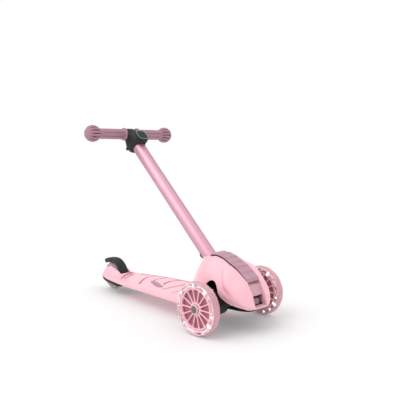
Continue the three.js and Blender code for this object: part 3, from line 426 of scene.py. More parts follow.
PINK_TONE = linear(247, 189, 200)
pink = Stuff("pink moulded plastic", PINK_TONE, 0.975, 1.02, 14, (0.34, 0.44), 45, 1500, 0.05, 0.18,
             wave=0.8, wear=0.35, wear_tone=linear(255, 214, 222), coat=0.12, coat_rough=0.3).material
slot_mauve = Stuff("dark mauve matte plastic", linear(156, 116, 131), 0.95, 1.03, 30, (0.5, 0.62), 60, 1300, 0.06, 0.3).material
# Dark mauve for the grips' pleat cuts and the pad's side walls and undersides: painted shade.
mauve_painted_shade = Stuff("mauve rubber in painted shade", linear(92, 60, 71), 0.93, 1.05, 40, (0.6, 0.74), 80, 1300, 0.09, 0.4,
                    specular=0.2).material
# Darker mauve in the shaft's lengthwise lines: painted shade.
grip_line_painted_shade = Stuff("mauve grip rubber with painted shade in its lines", linear(136, 96, 109), 0.93, 1.05, 40, (0.6, 0.74), 80, 1300, 0.09, 0.4,
                  specular=0.2).material
# Darker pink for the deck's lines and the wall beside its panel: painted shade in these hollows.
pink_painted_shade = Stuff("pink moulded plastic with painted shade in the deck's lines", linear(168, 104, 122), 0.95, 1.02, 14, (0.42, 0.54), 45, 1500,
                  0.05, 0.18).material
pink_hub = Stuff("pink moulded plastic of the hubs", linear(240, 186, 196), 0.97, 1.02, 30, (0.3, 0.42), 60, 1500,
                 0.04, 0.15, wear=0.6, wear_tone=linear(255, 214, 222)).material
# Darker mauve for the web deep between the spokes: painted shade.
hub_web_painted_shade = Stuff("mauve web of the hubs in painted shade", linear(176, 112, 126), 0.9, 1.06, 40, (0.4, 0.55), 60, 1500, 0.04, 0.2).material
mauve = Stuff("mauve soft rubber", linear(184, 140, 156), 0.94, 1.04, 30, (0.58, 0.7), 70, 1100, 0.09, 0.4,
              wave=0.4, wear=0.3, wear_tone=linear(206, 168, 182), sheen=0.12, specular=0.4).material
grip_mauve = Stuff("mauve grip rubber", linear(170, 126, 141), 0.93, 1.05, 40, (0.5, 0.64), 80, 1300, 0.09, 0.4,
                   wear=0.5, wear_tone=linear(214, 176, 190), sheen=0.1, specular=0.4).material
mauve_hard = Stuff("mauve matte plastic", linear(178, 136, 150), 0.95, 1.03, 30, (0.5, 0.62), 60, 1300, 0.06, 0.3,
                   wear=0.3, wear_tone=linear(205, 170, 182)).material
lining_mauve = Stuff("pale mauve matte plastic", linear(206, 162, 174), 0.95, 1.03, 30, (0.5, 0.62), 60, 1300, 0.06, 0.3,
                     wear=0.3, wear_tone=linear(222, 186, 196)).material
# The stem's bush is a real part; its dark colour is painted shade for the gap line between stem and hood.
collar_painted_shade = Stuff("dark mauve bush plastic in painted shade", linear(96, 66, 78), 0.95, 1.03, 30, (0.5, 0.62), 60, 1300, 0.06, 0.3).material
black = Stuff("black textured plastic", linear(37, 40, 39), 0.9, 1.1, 40, (0.46, 0.62), 60, 1200, 0.09, 0.45,
              wear=0.5, wear_tone=linear(84, 88, 88), specular=0.3).material
badge_black = Stuff("dark satin plastic", linear(26, 29, 30), 0.94, 1.05, 60, (0.34, 0.42), 80, 1600, 0.04, 0.2,
                    wear=0.0, specular=0.3).material
badge_rim = Stuff("grey satin rim", linear(150, 155, 157), 0.95, 1.05, 60, (0.3, 0.4), 80, 1600, 0.04, 0.2).material
stem_kind = Stuff("satin metallic stem paint", linear(226, 176, 192), 0.96, 1.03, 18, (0.46, 0.54), 50, 2600, 0.03, 0.2,
                  wave=0.2, metallic=0.85, specular=0.2, coat=0.0)
stem_kind.shader.inputs["Specular Tint"].default_value = (0.05, 0.035, 0.045, 1.0)
stem_paint = stem_kind.material
steel = Stuff("zinc plated steel", linear(196, 198, 200), 0.9, 1.05, 60, (0.24, 0.4), 120, 1600, 0.04, 0.3,
              metallic=0.95, scratches=0.5).material
aluminium = Stuff("drawn aluminium", linear(205, 207, 210), 0.93, 1.04, 40, (0.28, 0.42), 90, 1600, 0.04, 0.3,
                  metallic=0.95, scratches=0.8).material
grey = Stuff("grey matte plastic", linear(98, 104, 99), 0.93, 1.05, 60, (0.4, 0.52), 90, 1400, 0.06, 0.3,
             wear=0.4, wear_tone=linear(170, 175, 172)).material
bush = Stuff("black bush rubber", linear(40, 40, 41), 0.9, 1.08, 50, (0.7, 0.82), 90, 1100, 0.1, 0.4).material
tyre_pink = Stuff("cast translucent pink tyre", linear(232, 176, 186), 0.97, 1.02, 20, (0.24, 0.36), 50, 900, 0.05, 0.2,
                  wave=1.0, subsurface=0.6, transmission=0.25, coat=0.2, coat_rough=0.2).material
rear_pink = Stuff("cast translucent rear tyre", linear(214, 190, 196), 0.95, 1.02, 20, (0.22, 0.34), 50, 900, 0.05, 0.2,
                  wave=1.0, subsurface=0.4, transmission=0.3, coat=0.3, coat_rough=0.15).material


def maths(s, operation, a, b=None):
    n = s.tree.nodes.new("ShaderNodeMath")
    n.operation = operation
    for socket, v in zip(n.inputs, (a, b)):
        if v is None:
            continue
        if isinstance(v, (int, float)):
            socket.default_value = v
        else:
            s.tree.links.new(v, socket)
    return n.outputs[0]


def round_the_axle(s, x, z):
    """Angle and radius (in mm) about an axle that lies along y."""
    part = s.tree.nodes.new("ShaderNodeSeparateXYZ")
    s.tree.links.new(s.coord, part.inputs[0])
    dx, dz = maths(s, "SUBTRACT", part.outputs[0], x), maths(s, "SUBTRACT", part.outputs[2], z)
    angle = maths(s, "ARCTAN2", dz, dx)
    radius = maths(s, "SQRT", maths(s, "ADD", maths(s, "MULTIPLY", dx, dx), maths(s, "MULTIPLY", dz, dz)))
    return angle, maths(s, "MULTIPLY", radius, 1000.0), part.outputs[1]


def bell(s, value, middle, width):
    """1 at the middle, 0 at a distance of width."""
    gap = maths(s, "ABSOLUTE", maths(s, "SUBTRACT", value, middle))
    n = s.tree.nodes.new("ShaderNodeMapRange")
    n.interpolation_type = "SMOOTHSTEP"
    n.inputs[1].default_value, n.inputs[2].default_value = 0.0, width
    n.inputs[3].default_value, n.inputs[4].default_value = 1.0, 0.0
    s.tree.links.new(gap, n.inputs[0])
    return n.outputs[0]


def band_with_painted_glints():
    """Clear cast band between hub and tyre, its colour painted reflection: white glints and dark streaks round the
    wheel, of the parts that it magnifies behind it.
    """
    s = Stuff("clear cast band with painted glints", linear(236, 205, 212), 0.97, 1.02, 40, (0.05, 0.12), 90, 700, 0.05, 0.15,
              coat=0.6, coat_rough=0.04, specular=0.6)
    t = s.tree
    angle, radius, across = round_the_axle(s, AXLE_X / 1000, WHEEL_R / 1000)
    place = t.nodes.new("ShaderNodeCombineXYZ")
    # 52 mm of arc per radian: long in the angle, short in the radius
    t.links.new(maths(s, "MULTIPLY", angle, 5.2), place.inputs[0])
    t.links.new(maths(s, "MULTIPLY", radius, 0.42), place.inputs[1])
    t.links.new(maths(s, "MULTIPLY", across, 60.0), place.inputs[2])
    streaks = t.nodes.new("ShaderNodeTexNoise")
    streaks.inputs["Scale"].default_value = 1.0
    streaks.inputs["Detail"].default_value = 2.5
    streaks.inputs["Roughness"].default_value = 0.6
    streaks.inputs["Distortion"].default_value = 0.9
    t.links.new(place.outputs[0], streaks.inputs[0])
    # painted glints and dark streaks: tones from dark mauve to near white
    ramp = t.nodes.new("ShaderNodeValToRGB")
    e = ramp.color_ramp.elements
    e[0].position, e[0].color = 0.37, linear(96, 58, 66)
    e[1].position, e[1].color = 0.63, linear(255, 252, 253)
    for at, c in ((0.43, (168, 112, 124)), (0.5, (228, 168, 182)), (0.56, (250, 220, 227))):
        mid = ramp.color_ramp.elements.new(at)
        mid.color = linear(*c)
    t.links.new(streaks.outputs[0], ramp.inputs[0])
    colour = ramp.outputs[0]
    # painted highlight lines where the band meets the hub and the tyre, and a painted dark line between them
    for at, width, most in ((49.9, 0.8, 0.85), (58.6, 0.7, 0.8)):
        colour = s.mixed(colour, linear(255, 240, 243), bell(s, radius, at, width), 0.0, 1.0, most)
    colour = s.mixed(colour, linear(150, 108, 118), bell(s, radius, 51.4, 0.7), 0.0, 1.0, 0.5)
    t.links.new(colour, s.shader.inputs["Base Color"])
    return s.material


band = band_with_painted_glints()


# Lamp glow, partly painted highlight: the lamps are placed where the glints show.
def lamp_glint_material():
    s = Stuff("lit clear lamp and painted glint", linear(255, 250, 250), 0.97, 1.0, 60, (0.08, 0.16), 90, 900, 0.03, 0.15, coat=0.5)
    s.shader.inputs["Emission Color"].default_value = (1.0, 0.97, 0.97, 1.0)
    s.shader.inputs["Emission Strength"].default_value = 1.6
    return s.material


lamp = lamp_glint_material()
ring_clear = Stuff("clear lamp ring", linear(235, 228, 231), 0.9, 1.03, 60, (0.1, 0.2), 90, 900, 0.05, 0.2,
                   transmission=0.3, coat=0.3).material

SLOT_STUFF = {
    "pink_plastic": pink, "mauve_rubber": mauve, "mauve_plastic": mauve_hard, "black_plastic": black,
    "steel": steel, "stem_paint": stem_paint, "grey_plastic": grey, "bush_rubber": bush,
    "clear_pink_tyre": tyre_pink, "led_clear": ring_clear, "aluminium": aluminium,
}

# ------------------------------------------------------------------ hood
# x, height of the channel's floor, then [y, z] from the ridge beside the channel out and down.
HOOD = [
    [-127, 59, [[3, 60], [7, 60], [13, 59.7], [18, 59.3], [20, 58.9], [20.5, 58.2]]],
    [-121, 79, [[8, 78.5], [13, 77], [20, 72], [25, 66], [28, 61], [28.5, 58.2]]],
    [-112, 103, [[8, 102], [13, 99], [19, 91], [27, 80], [33, 68], [36.5, 58.2]]],
    [-104, 123, [[8, 122], [14, 117], [22, 104], [31, 88], [39, 72], [44, 58.2]]],
    [-97, 137, [[8, 136], [15, 129], [24, 113], [34, 95], [44, 76], [51, 58.2]]],
    [-88, 149, [[10, 147], [19, 137], [29, 120], [40, 100], [51, 80], [58, 58.2]]],
    [-73, 158, [[22, 155], [31, 143], [40, 126], [51, 104], [60, 82], [65, 58.2]]],
    [-58, 162.6, [[22, 161.6], [37, 152], [50, 133], [61, 108], [67, 84], [69, 58.2]]],
    [-52.6, 163.6, [[22, 163], [38, 154], [52, 134], [62, 109], [68, 84], [69.5, 58.2]]],
    [-51.9, 155, [[22, 163], [38, 154], [52, 134], [62, 109], [68, 84], [69.5, 58.2]]],
    [-32, 156.5, [[22, 166], [41, 158], [56, 140], [66, 114], [70, 86], [71, 58.2]]],
    [-9, 152, [[22, 162], [42, 154], [58, 137], [67, 114], [71, 88], [71, 58.2]]],
    [13, 142.5, [[22, 152], [41, 146], [56, 131], [65, 111], [69, 90], [66, 66]]],
    [29, 135, [[22, 145], [39.5, 140.8], [56, 128.5], [65, 110.5], [67.5, 92], [60, 71]]],
    [44, 125.5, [[22, 136], [38, 132], [53, 121], [62, 104], [64, 87], [55, 67.5]]],
    [57, 112, [[22, 126], [36, 122], [49, 112.5], [57.5, 98], [60, 83], [50, 64]]],
    [67, 96, [[22, 118], [34, 114], [46, 104.5], [53.5, 92], [55.5, 80], [46, 62]]],
    [76, 72, [[22, 104], [31, 101.8], [40.5, 95], [48, 84.5], [50, 75], [41, 60]]],
    [80, 61.5, [[22, 97], [29, 94.5], [36, 88], [42, 79.5], [45.5, 72], [38, 58.8]]],
    [85, 61.5, [[22, 86], [28, 85], [33.5, 80], [38, 73.5], [39.5, 68.5], [31, 58]]],
    [89, 61.5, [[22, 72], [26, 72], [29.8, 69.5], [32.3, 67], [32.6, 65.5], [24, 58.6]]],
    [92.5, 61.2, [[22, 64.2], [23.5, 64.3], [24.6, 63.8], [25.2, 62.8], [25.2, 62], [20, 59]]],
]
# Fold between the flatter rear flank and the full front lobe, seen from the side: [x, z].
CREASE = np.array([
    [-66, 151.5], [-42, 152.4], [-24, 153.4], [-12, 152], [-1.6, 147.6], [5.5, 142.5], [11.4, 135.6], [15.5, 130],
    [18.7, 124.4], [23.3, 115.7], [27, 109], [31.3, 103.5], [39, 95.5], [49.5, 87.7], [64, 79],
])
ARCH = [
    [-34, 20], [-33, 70], [-28, 96], [-19, 112], [-6, 118.5], [3, 117], [11, 106], [18, 90], [26, 78], [36, 71],
    [46, 67], [46, 20],
]


def ahead_of_crease(x, z):
    """Distance to the fold, positive on the lobe's side."""
    p = np.stack([x, z], -1)[..., None, :]
    a, b = CREASE[:-1], CREASE[1:]
    d = b - a
    t = np.clip(((p - a) * d).sum(-1) / (d * d).sum(-1), 0, 1)
    near = a + t[..., None] * d
    dist = np.linalg.norm(p - near, axis=-1)
    side = d[:, 0] * (p[..., 1] - a[:, 1]) - d[:, 1] * (p[..., 0] - a[:, 0])
    k = dist.argmin(-1)[..., None]
    return np.take_along_axis(dist, k, -1)[..., 0] * np.sign(np.take_along_axis(side, k, -1)[..., 0])


def hood_shell():
    xs = [r[0] for r in HOOD]
    stations = np.unique(np.concatenate([np.arange(-127, 92.6, 1.0), [-52.6, -51.9, 92.5]]))
    floors = curve_through(xs, [r[1] for r in HOOD], stations)
    # the floor steps down behind the pad
    floors = np.where(stations <= -52.6, curve_through(xs[:9], [r[1] for r in HOOD[:9]], stations), floors)
    sides = curve_through(xs, [np.ravel(r[2]) for r in HOOD], stations).reshape(len(stations), 6, 2)
    n_side = 54
    rings = []
    for x, floor, side in zip(stations, floors, sides):
        length = np.concatenate([[0], np.cumsum(np.linalg.norm(np.diff(side, axis=0), axis=1))])
        total = length[-1]
        ridge_y, ridge_z = side[0]
        k = float(np.clip((ridge_z - floor) * 0.8, 0.05, 2.4))
        # wider rounding in front, where the lobes end in soft lips
        s = np.linspace(k, total, n_side)
        path = curve_through(length, side, s)
        tangent = np.gradient(path, axis=0)
        tangent /= np.maximum(np.linalg.norm(tangent, axis=1, keepdims=True), 1e-9)
        normal = np.stack([-tangent[:, 1], tangent[:, 0]], 1)  # out of the shell for a path that runs outwards and down
        normal *= np.sign(normal[:, :1] * 1.0 + normal[:, 1:] + 1e-9)
        t = ahead_of_crease(np.full(n_side, x), path[:, 1])
        amount = 5.0 * step(-52, -14, x) * (1 - 0.7 * step(26, 60, x))
        rise = np.where(t > 0, 1 - (1 - np.clip(t / 15, 0, 1)) ** 2, 0.0)
        dip = np.exp(-((t / 7.0) ** 2)) * 0.32
        away = step(0, 9, s) * step(0, 6, total - s)  # keeps the ridge and the lower rim where they are
        path = path + normal * ((amount * (rise - dip) - 0.26 * amount) * away)[:, None]
        corner = np.array([ridge_y - 0.4, ridge_z])
        start = np.array([ridge_y - 0.4, ridge_z - k])
        lip = [(1 - u) ** 2 * start + 2 * u * (1 - u) * corner + u * u * path[0] for u in np.linspace(0, 1, 6)[:-1]]
        wall = [(ridge_y - 0.4, floor + (start[1] - floor) * u) for u in (0.0, 0.4, 0.8)]
        floor_pts = [(0.0, floor), ((ridge_y - 0.4) * 0.5, floor)]
        end = path[-1]
        under = [(end[0] * 0.5, end[1])]
        half = floor_pts + wall + [tuple(p) for p in lip] + [tuple(p) for p in path] + under
        bottom = (0.0, end[1])
        right = [(x, -y, z) for y, z in half[1:]]
        left = [(x, y, z) for y, z in reversed(half[1:])]
        rings.append([(x, 0.0, floor)] + right + [(x, *bottom)] + left)
    hood = ring_body("hood", rings)
    two_kinds(hood)
    outer = hood.copy()
    outer.data = hood.data.copy()
    scene.collection.objects.link(outer)

    def inner_section(x, floor, side):
        # thicker where the fold dips into the shell
        wall = float(np.interp(x, [-119, -60, -30, 40, 66, 82], [2.6, 3.0, 4.4, 4.4, 3.2, 2.6]))
        side = np.asarray(side, float)
        low = side[-1][1]
        mids = []
        for i in range(6):
            a, b = side[max(0, i - 1)], side[min(5, i + 1)]
            L = math.hypot(*(b - a)) or 1
            ny, nz = (b[1] - a[1]) / L, -(b[0] - a[0]) / L
            mids.append((max(side[i][0] + ny * wall, 0.5), side[i][1] + nz * wall))
        ridge = side[0][0]
        stepped = side[0][1] - floor > 2
        half = [
            (0, floor - wall),
            (max(ridge - 0.4 + (wall if stepped else 0), 0.4), floor - wall),
            (ridge + wall if stepped else mids[0][0], mids[0][1]),
            *mids[1:],
        ]
        half[-1] = (max(mids[-1][0], 1), low - 6)
        half.append((0, low - 6))
        left = list(reversed(half[1:-1]))
        return [(x, -y, z) for y, z in half] + [(x, y, z) for y, z in left]

    inner = [inner_section(*r) for r in HOOD if -119 < r[0] < 82]
    nose = inner_section(*[r for r in HOOD if r[0] == 85][0])
    inner.append([(84, y * 0.78, min(z, 59.2)) for _, y, z in nose])
    arch = [tuple(p) for p in rounded(ARCH, [0, 2, 8, 8, 8, 8, 8, 8, 6, 6, 2, 0], True, 5)]
    tools = [two_kinds(ring_body("tool", inner), 1)]
    tools += [prism_xz(arch, 44, 100), prism_xz(arch, -100, -44)]
    tools.append(stem_rod(20.7, -60, 40, STEM_BASE, 72))
    tools.append(two_kinds(block(52, 84, -20.2, 20.2, 62.5, 86), 1))
    bool_with(hood, tools)
    return hood, outer


def two_kinds(ob, kind=0):
    """Room for two materials, with every face set to one of them, so that a boolean keeps them apart."""
    for m in (pink, black):
        ob.data.materials.append(m)
    ob.data.polygons.foreach_set("material_index", np.full(len(ob.data.polygons), kind, np.int32))
    return ob


hood, hood_outer = hood_shell()
soften(hood, 1.1, 3, 40)
settle(hood)
dress(hood, "chassis", [pink, black], ["housing_shell"], 40)

# ------------------------------------------------------------------ soft pad in the hood's channel
PAD_FLOOR = [[-51.9, 155], [-32, 156.5], [-9, 152], [13, 142.5], [29, 135], [44, 125.5], [57, 112], [66, 99.5]]
PAD_EDGE = [[r[0], r[2][0][1]] for r in HOOD if r[0] >= -52]


def pad_body():
    xs = np.concatenate([np.arange(-51.2, 60, 0.8), np.arange(60, 65.7, 0.5)])
    low = curve_through([p[0] for p in PAD_FLOOR], [p[1] for p in PAD_FLOOR], xs) + 0.7
    edge = curve_through([p[0] for p in PAD_EDGE], [p[1] for p in PAD_EDGE], xs)
    crown = curve_through([-52, -9, 30, 66], [7.7, 7.3, 6.2, 3.5], xs)
    base = np.interp(xs, [-52, 30, 66], [3.9, 3.9, 2.0])
    # length along the slope, so that the ribs are even on it
    slope = np.concatenate([[0], np.cumsum(np.hypot(np.diff(xs), np.diff(edge)))])
    total = slope[-1]
    ribs = 7
    across = np.sin(np.linspace(-1, 1, 61) * math.pi / 2 * 0.985) / math.sin(math.pi / 2 * 0.985)
    rings = []
    for x, lo, ed, cr, least, s in zip(xs, low, edge, crown, base, slope):
        # each rib laps over the next one in front: it rises slowly and ends in a tight step
        u = (s / total * ribs + 0.10 * np.abs(across) ** 2) % 1.0
        rib = 2.1 * (np.clip(u / 0.82, 0, 1) ** 0.8) * step(1.0, 0.86, u) - 1.5
        front = step(total - 8, total - 4, s)
        half = 22.2 - 0.8 * step(24, 8, s)
        y = across * half
        dome = least + (cr - least) * (1 - np.abs(across) ** 3.2)
        side_fade = step(1.0, 0.88, np.abs(across))  # the ribs end short of the edges
        top = ed + dome + rib * side_fade * (1 - front) + 1.0 * front * side_fade
        # the edges are rounded and stand over a narrower neck, which leaves a shadow gap beside the ridges
        top = top - 1.1 * np.clip((np.abs(across) - 0.94) / 0.06, 0, 1) ** 1.6 - 0.3
        top = np.maximum(top, lo + 1.5)
        end_drop = 3.2 * step(total - 3.0, total, s) ** 2
        top = top - end_drop
        rim, neck = max(top[-1] - 0.5, lo + 1.0), half - 3.6
        upper = [(x, yy, zz) for yy, zz in zip(y, top)]
        lower = [(x, half - 0.5, rim), (x, neck, rim)]
        lower += [(x, yy, lo) for yy in np.linspace(neck - 0.05, -neck + 0.05, 15)]
        lower += [(x, -neck, rim), (x, -half + 0.5, rim)]
        rings.append(upper + lower)
    pad = ring_body("pad", rings)
    # the front end is a lip: the body under it stands back
    undercut = [(58.6, 90), (70, 90), (70, 115.4), (64.4, 116.4), (61.2, 115.8), (59.2, 113)]
    bool_with(pad, [stem_rod(22.4, -60, 80, STEM_BASE, 72),
                    prism_xz([tuple(p) for p in rounded(undercut, [0, 0, 0, 1.5, 1.5, 1.5], True, 4)], -30, 30)])
    return pad


pad = pad_body()
soften(pad, 0.4, 2, 50)
settle(pad)
dress(pad, "chassis", [mauve, mauve_painted_shade], ["safety_pad"], 50)
spots = centres(pad)
facing = np.zeros(len(pad.data.polygons) * 3, np.float32)
pad.data.polygons.foreach_get("normal", facing)
facing = facing.reshape(-1, 3)
# painted shade: the pad's side walls under its rim and its undersides take the dark mauve
shaded = (np.abs(facing[:, 1]) > 0.8) & (np.abs(spots[:, 1]) < 19.4) | (facing[:, 2] < -0.5)
pad.data.polygons.foreach_set("material_index", shaded.astype(np.int32))

# ------------------------------------------------------------------ deck
DECK_HALF = [(-507, 21), (-503, 27), (-494, 32.5), (-480, 38), (-458, 44.5), (-420, 51), (-370, 58.5), (-310, 64.5),
             (-220, 69.5), (-160, 73), (-100, 75.5), (-60, 72), (-37, 66)]
DECK_TOP = [(-507, 47), (-430, 48.5), (-370, 50.5), (-310, 53), (-220, 55.5), (-120, 57), (-37, 57)]
DECK_BOTTOM = [(-507, 42.5), (-480, 39.5), (-440, 38), (-400, 38), (-200, 40.5), (-37, 41.5)]
CHEEK_TOP = [(-507, 47.5), (-503, 51), (-496, 58), (-487, 65.5), (-476, 70.5), (-466, 72), (-452, 68.5), (-440, 64.5), (-431, 61),
             (-424, 56.5), (-418, 52)]
INLAY = [(-296, 0.5), (-276, 0.5), (-224, -22.5), (-224, -35), (-243, -35), (-296, -8.5)]


def table(rows, x):
    return curve_through([r[0] for r in rows], [r[1] for r in rows], x)


def straight(rows, x):
    return np.interp(x, [r[0] for r in rows], [r[1] for r in rows])


# Moulded lines in the deck's top: points, width, depth.
GROOVES = [
    ([(-400, -33), (-409, -20), (-415, -5), (-418, 10), (-419.5, 22), (-419.5, 36)], 3.0, 1.4),
    ([(-389, -28), (-398, -16), (-405, -3), (-410, 10), (-412, 20)], 2.8, 1.3),
    ([(-303, -43), (-314, -30), (-328, -13), (-342, 6), (-351, 24), (-354, 42), (-347, 53), (-334, 58.5)], 3.2, 1.5),
    ([(-402, 40), (-394, 47), (-380, 51)], 2.2, 1.1),
    ([(-297, -2.7), (-303, 12), (-308, 29), (-307, 46), (-301, 58)], 3.2, 1.5),
    ([(-246, -4), (-254, 13), (-258, 30), (-253, 47), (-246, 60)], 4.2, 1.8),
    ([(-208, -43), (-205, -22), (-203.5, 0), (-201, 24), (-202, 42), (-207, 57)], 3.4, 1.6),
    ([(-163, -48), (-158, -24), (-156, 0), (-158, 24), (-163, 48)], 3.0, 1.4),
]


def groove_depth(x, y):
    depth = np.zeros_like(x)
    for pts, width, deep in GROOVES:
        pts = np.array(pts, float)
        n = np.concatenate([[0], np.cumsum(np.linalg.norm(np.diff(pts, axis=0), axis=1))])
        fine = curve_through(n, pts, np.linspace(0, n[-1], 90))
        total = n[-1]
        d2 = (x[..., None] - fine[:, 0]) ** 2 + (y[..., None] - fine[:, 1]) ** 2
        k = d2.argmin(-1)
        dist = np.sqrt(d2.min(-1))
        along = k / 89 * total
        taper = step(0, 9, along) * step(0, 9, total - along)
        depth = np.maximum(depth, 1.35 * deep * (1 - step(width * 0.42, width * 0.8, dist)) * (0.25 + 0.75 * taper))
    return depth


def deck_body():
    xs = np.concatenate([np.arange(-507, -37, 0.9), [-37.0]])
    hws, tops, lows = table(DECK_HALF, xs), table(DECK_TOP, xs), table(DECK_BOTTOM, xs)
    cheeks = table(CHEEK_TOP, xs)
    rings = []
    n_top = 141
    grid_x, grid_y, plan = [], [], []
    for x, hw, top, low, cheek in zip(xs, hws, tops, lows, cheeks):
        mid = max(cheek, top) if x < -418 else top + (max(cheek, top) - top) * step(-410, -418, x)
        lift = mid - top
        inner = min(26, hw - 6)
        # shape across: y, height over the middle of the rim
        key = [(0, mid), (min(inner - 2.5, 21), mid), (inner, top + lift * 0.62),
               (min(hw - 9.5, inner + 10), top + lift * 0.12)]
        key = [k for i, k in enumerate(key) if i == 0 or k[0] > key[i - 1][0] + 0.5]
        flat_to = max(hw - 9.0, key[-1][0] + 0.6)
        key += [(flat_to, top)]
        ky, kz = [k[0] for k in key], [k[1] for k in key]
        u = np.linspace(-1, 1, n_top)
        # dense over the panel, then a sloping rim and a full round edge
        yy = np.sign(u) * np.abs(u) ** 0.98 * (hw - 1.0)
        ay = np.abs(yy)
        z = curve_through(ky, kz, np.minimum(ay, flat_to))
        over = np.clip((ay - flat_to) / max(hw - 1.0 - flat_to, 1e-3), 0, 1)
        z = z - over * 1.5 - over**5 * 1.6
        panel = 1.5 * step(flat_to + 0.8, flat_to - 0.8, ay) * step(-416, -400, x)
        z = z - panel
        grid_x.append(np.full(n_top, x))
        grid_y.append(yy)
        plan.append(z)
    gx, gy, gz = np.array(grid_x), np.array(grid_y), np.array(plan)
    keep = step(-421.6, -419.6, gx) + (np.abs(gy) > 20)
    gz = gz - groove_depth(gx, gy) * np.clip(keep, 0, 1)
    for i, (x, hw, top, low) in enumerate(zip(xs, hws, tops, lows)):
        upper = [(x, y, z) for y, z in zip(gy[i], gz[i])]
        rim = gz[i][-1]
        h = rim - low
        side = [(hw - 0.25, rim - 0.12 * h), (hw, rim - 0.3 * h), (hw, low + 0.35 * h), (hw - 0.4, low + 0.18 * h),
                (hw - 1.4, low + 0.07 * h), (hw - 3.2, low), (hw - 6.5, low)]
        right = [(x, y, z) for y, z in side]
        under = [(x, y, low) for y in np.linspace(hw - 12, -(hw - 12), 9)]
        left = [(x, -y, z) for y, z in reversed(side)]
        rings.append(upper + right + under + left)
    deck = ring_body("deck", rings)
    slot_half = 17.3
    bool_with(deck, [block(-620, -422, -slot_half, slot_half, 0, 120)])
    bosses = [rod_y(8, y0, y1, REAR_X, REAR_R, 48) for y0, y1 in ((9.7, slot_half + 0.1), (-slot_half - 0.1, -9.7))]
    bool_with(deck, bosses, "UNION")
    tools = []
    for x0, x1 in ((-388, -326), (-322, -262), (-258, -198), (-194, -134)):
        for s in (-1, 1):
            a, b = straight(DECK_HALF, x0) - 5.5, straight(DECK_HALF, x1) - 5.5
            quad = [(x0, s * 2), (x1, s * 2), (x1, s * b), (x0, s * a)]
            tools.append(prism_xy([tuple(p) for p in rounded(quad, 4, True, 4)], 20, straight(DECK_TOP, x0) - 3.8))
    tools += [block(REAR_X - 4.3, REAR_X + 4.3, -30.6, 30.6, 20, REAR_R), rod_y(4.45, -30.6, 30.6, REAR_X, REAR_R)]
    tools += [block(-432.3, -426.7, -25, 25, 20, 45), rod_y(2.95, -25, 25, -429.5, 45, 32)]
    inlay = [tuple(p) for p in rounded(INLAY, 1.6, True, 4)]
    tools.append(prism_xy(inlay, 52.6, 70))
    tools.append(block(-62, 0, -31, 31, 30, 70))
    for y in (-16, 16):
        tools.append(turned("tool", [[0, 30], [3.4, 30], [3.4, 70], [0, 70]], seg=32))
        t = tools[-1]
        co = np.array([v.co for v in t.data.vertices])
        co = np.stack([co[:, 0] + (-88) / 1000, co[:, 2] + y / 1000, co[:, 1]], 1)
        for v, c in zip(t.data.vertices, co):
            v.co = c
        t.data.flip_normals()
    bool_with(deck, tools)
    return deck


deck = deck_body()
soften(deck, 0.6, 2, 48)
settle(deck)
dress(deck, "chassis", [pink, pink_painted_shade, black], ["deck_body"], 40)
spots = centres(deck)
# Faces down in the deck's lines take the darker pink, as painted shade.
near = np.flatnonzero((np.abs(spots[:, 0] + 260) < 165) & (np.abs(spots[:, 1]) < 66) & (spots[:, 2] > 46.5))
groove_faces_painted_shade = near[groove_depth(spots[near, 0], spots[near, 1]) > 0.3]
kinds = np.zeros(len(spots), np.int32)
kinds[groove_faces_painted_shade] = 1
facing = np.zeros(len(deck.data.polygons) * 3, np.float32)
deck.data.polygons.foreach_get("normal", facing)
facing = facing.reshape(-1, 3)
# painted shade: the wall between the panel and the far and near rims takes the darker pink
kinds[(np.abs(facing[:, 1]) > 0.6) & (facing[:, 2] > 0.15) & (spots[:, 0] > -404) & (spots[:, 0] < -60)
      & (facing[:, 1] * spots[:, 1] < 0) & (np.abs(spots[:, 1]) > 35)] = 1
# lower edge of the tail, as dark as the skirt
kinds[(spots[:, 0] < -452) & (spots[:, 2] < np.interp(spots[:, 0], [-507, -480, -452], [45.2, 41.6, 38.4]))
      & (np.abs(spots[:, 1]) > 16)] = 2
deck.data.polygons.foreach_set("material_index", kinds)

# Patch let into the deck: a thin pad with a rounded edge.
mid = np.array([-262, -15.5])
patch = [mid + (np.array(p) - mid) * (0.965, 0.93) for p in INLAY]
patch = rounded(patch, 2.2, True, 5)
inset = [mid + (p - mid) * (0.975, 0.93) for p in patch]
inlay = ring_body("inlay", [
    [(p[0], p[1], 52.9) for p in patch], [(p[0], p[1], 54.0) for p in patch], [(p[0], p[1], 54.45) for p in inset],
])
dress(inlay, "chassis", mauve_hard, ["deck_inlay"])

# ------------------------------------------------------------------ front wheels
SPOKES = 14


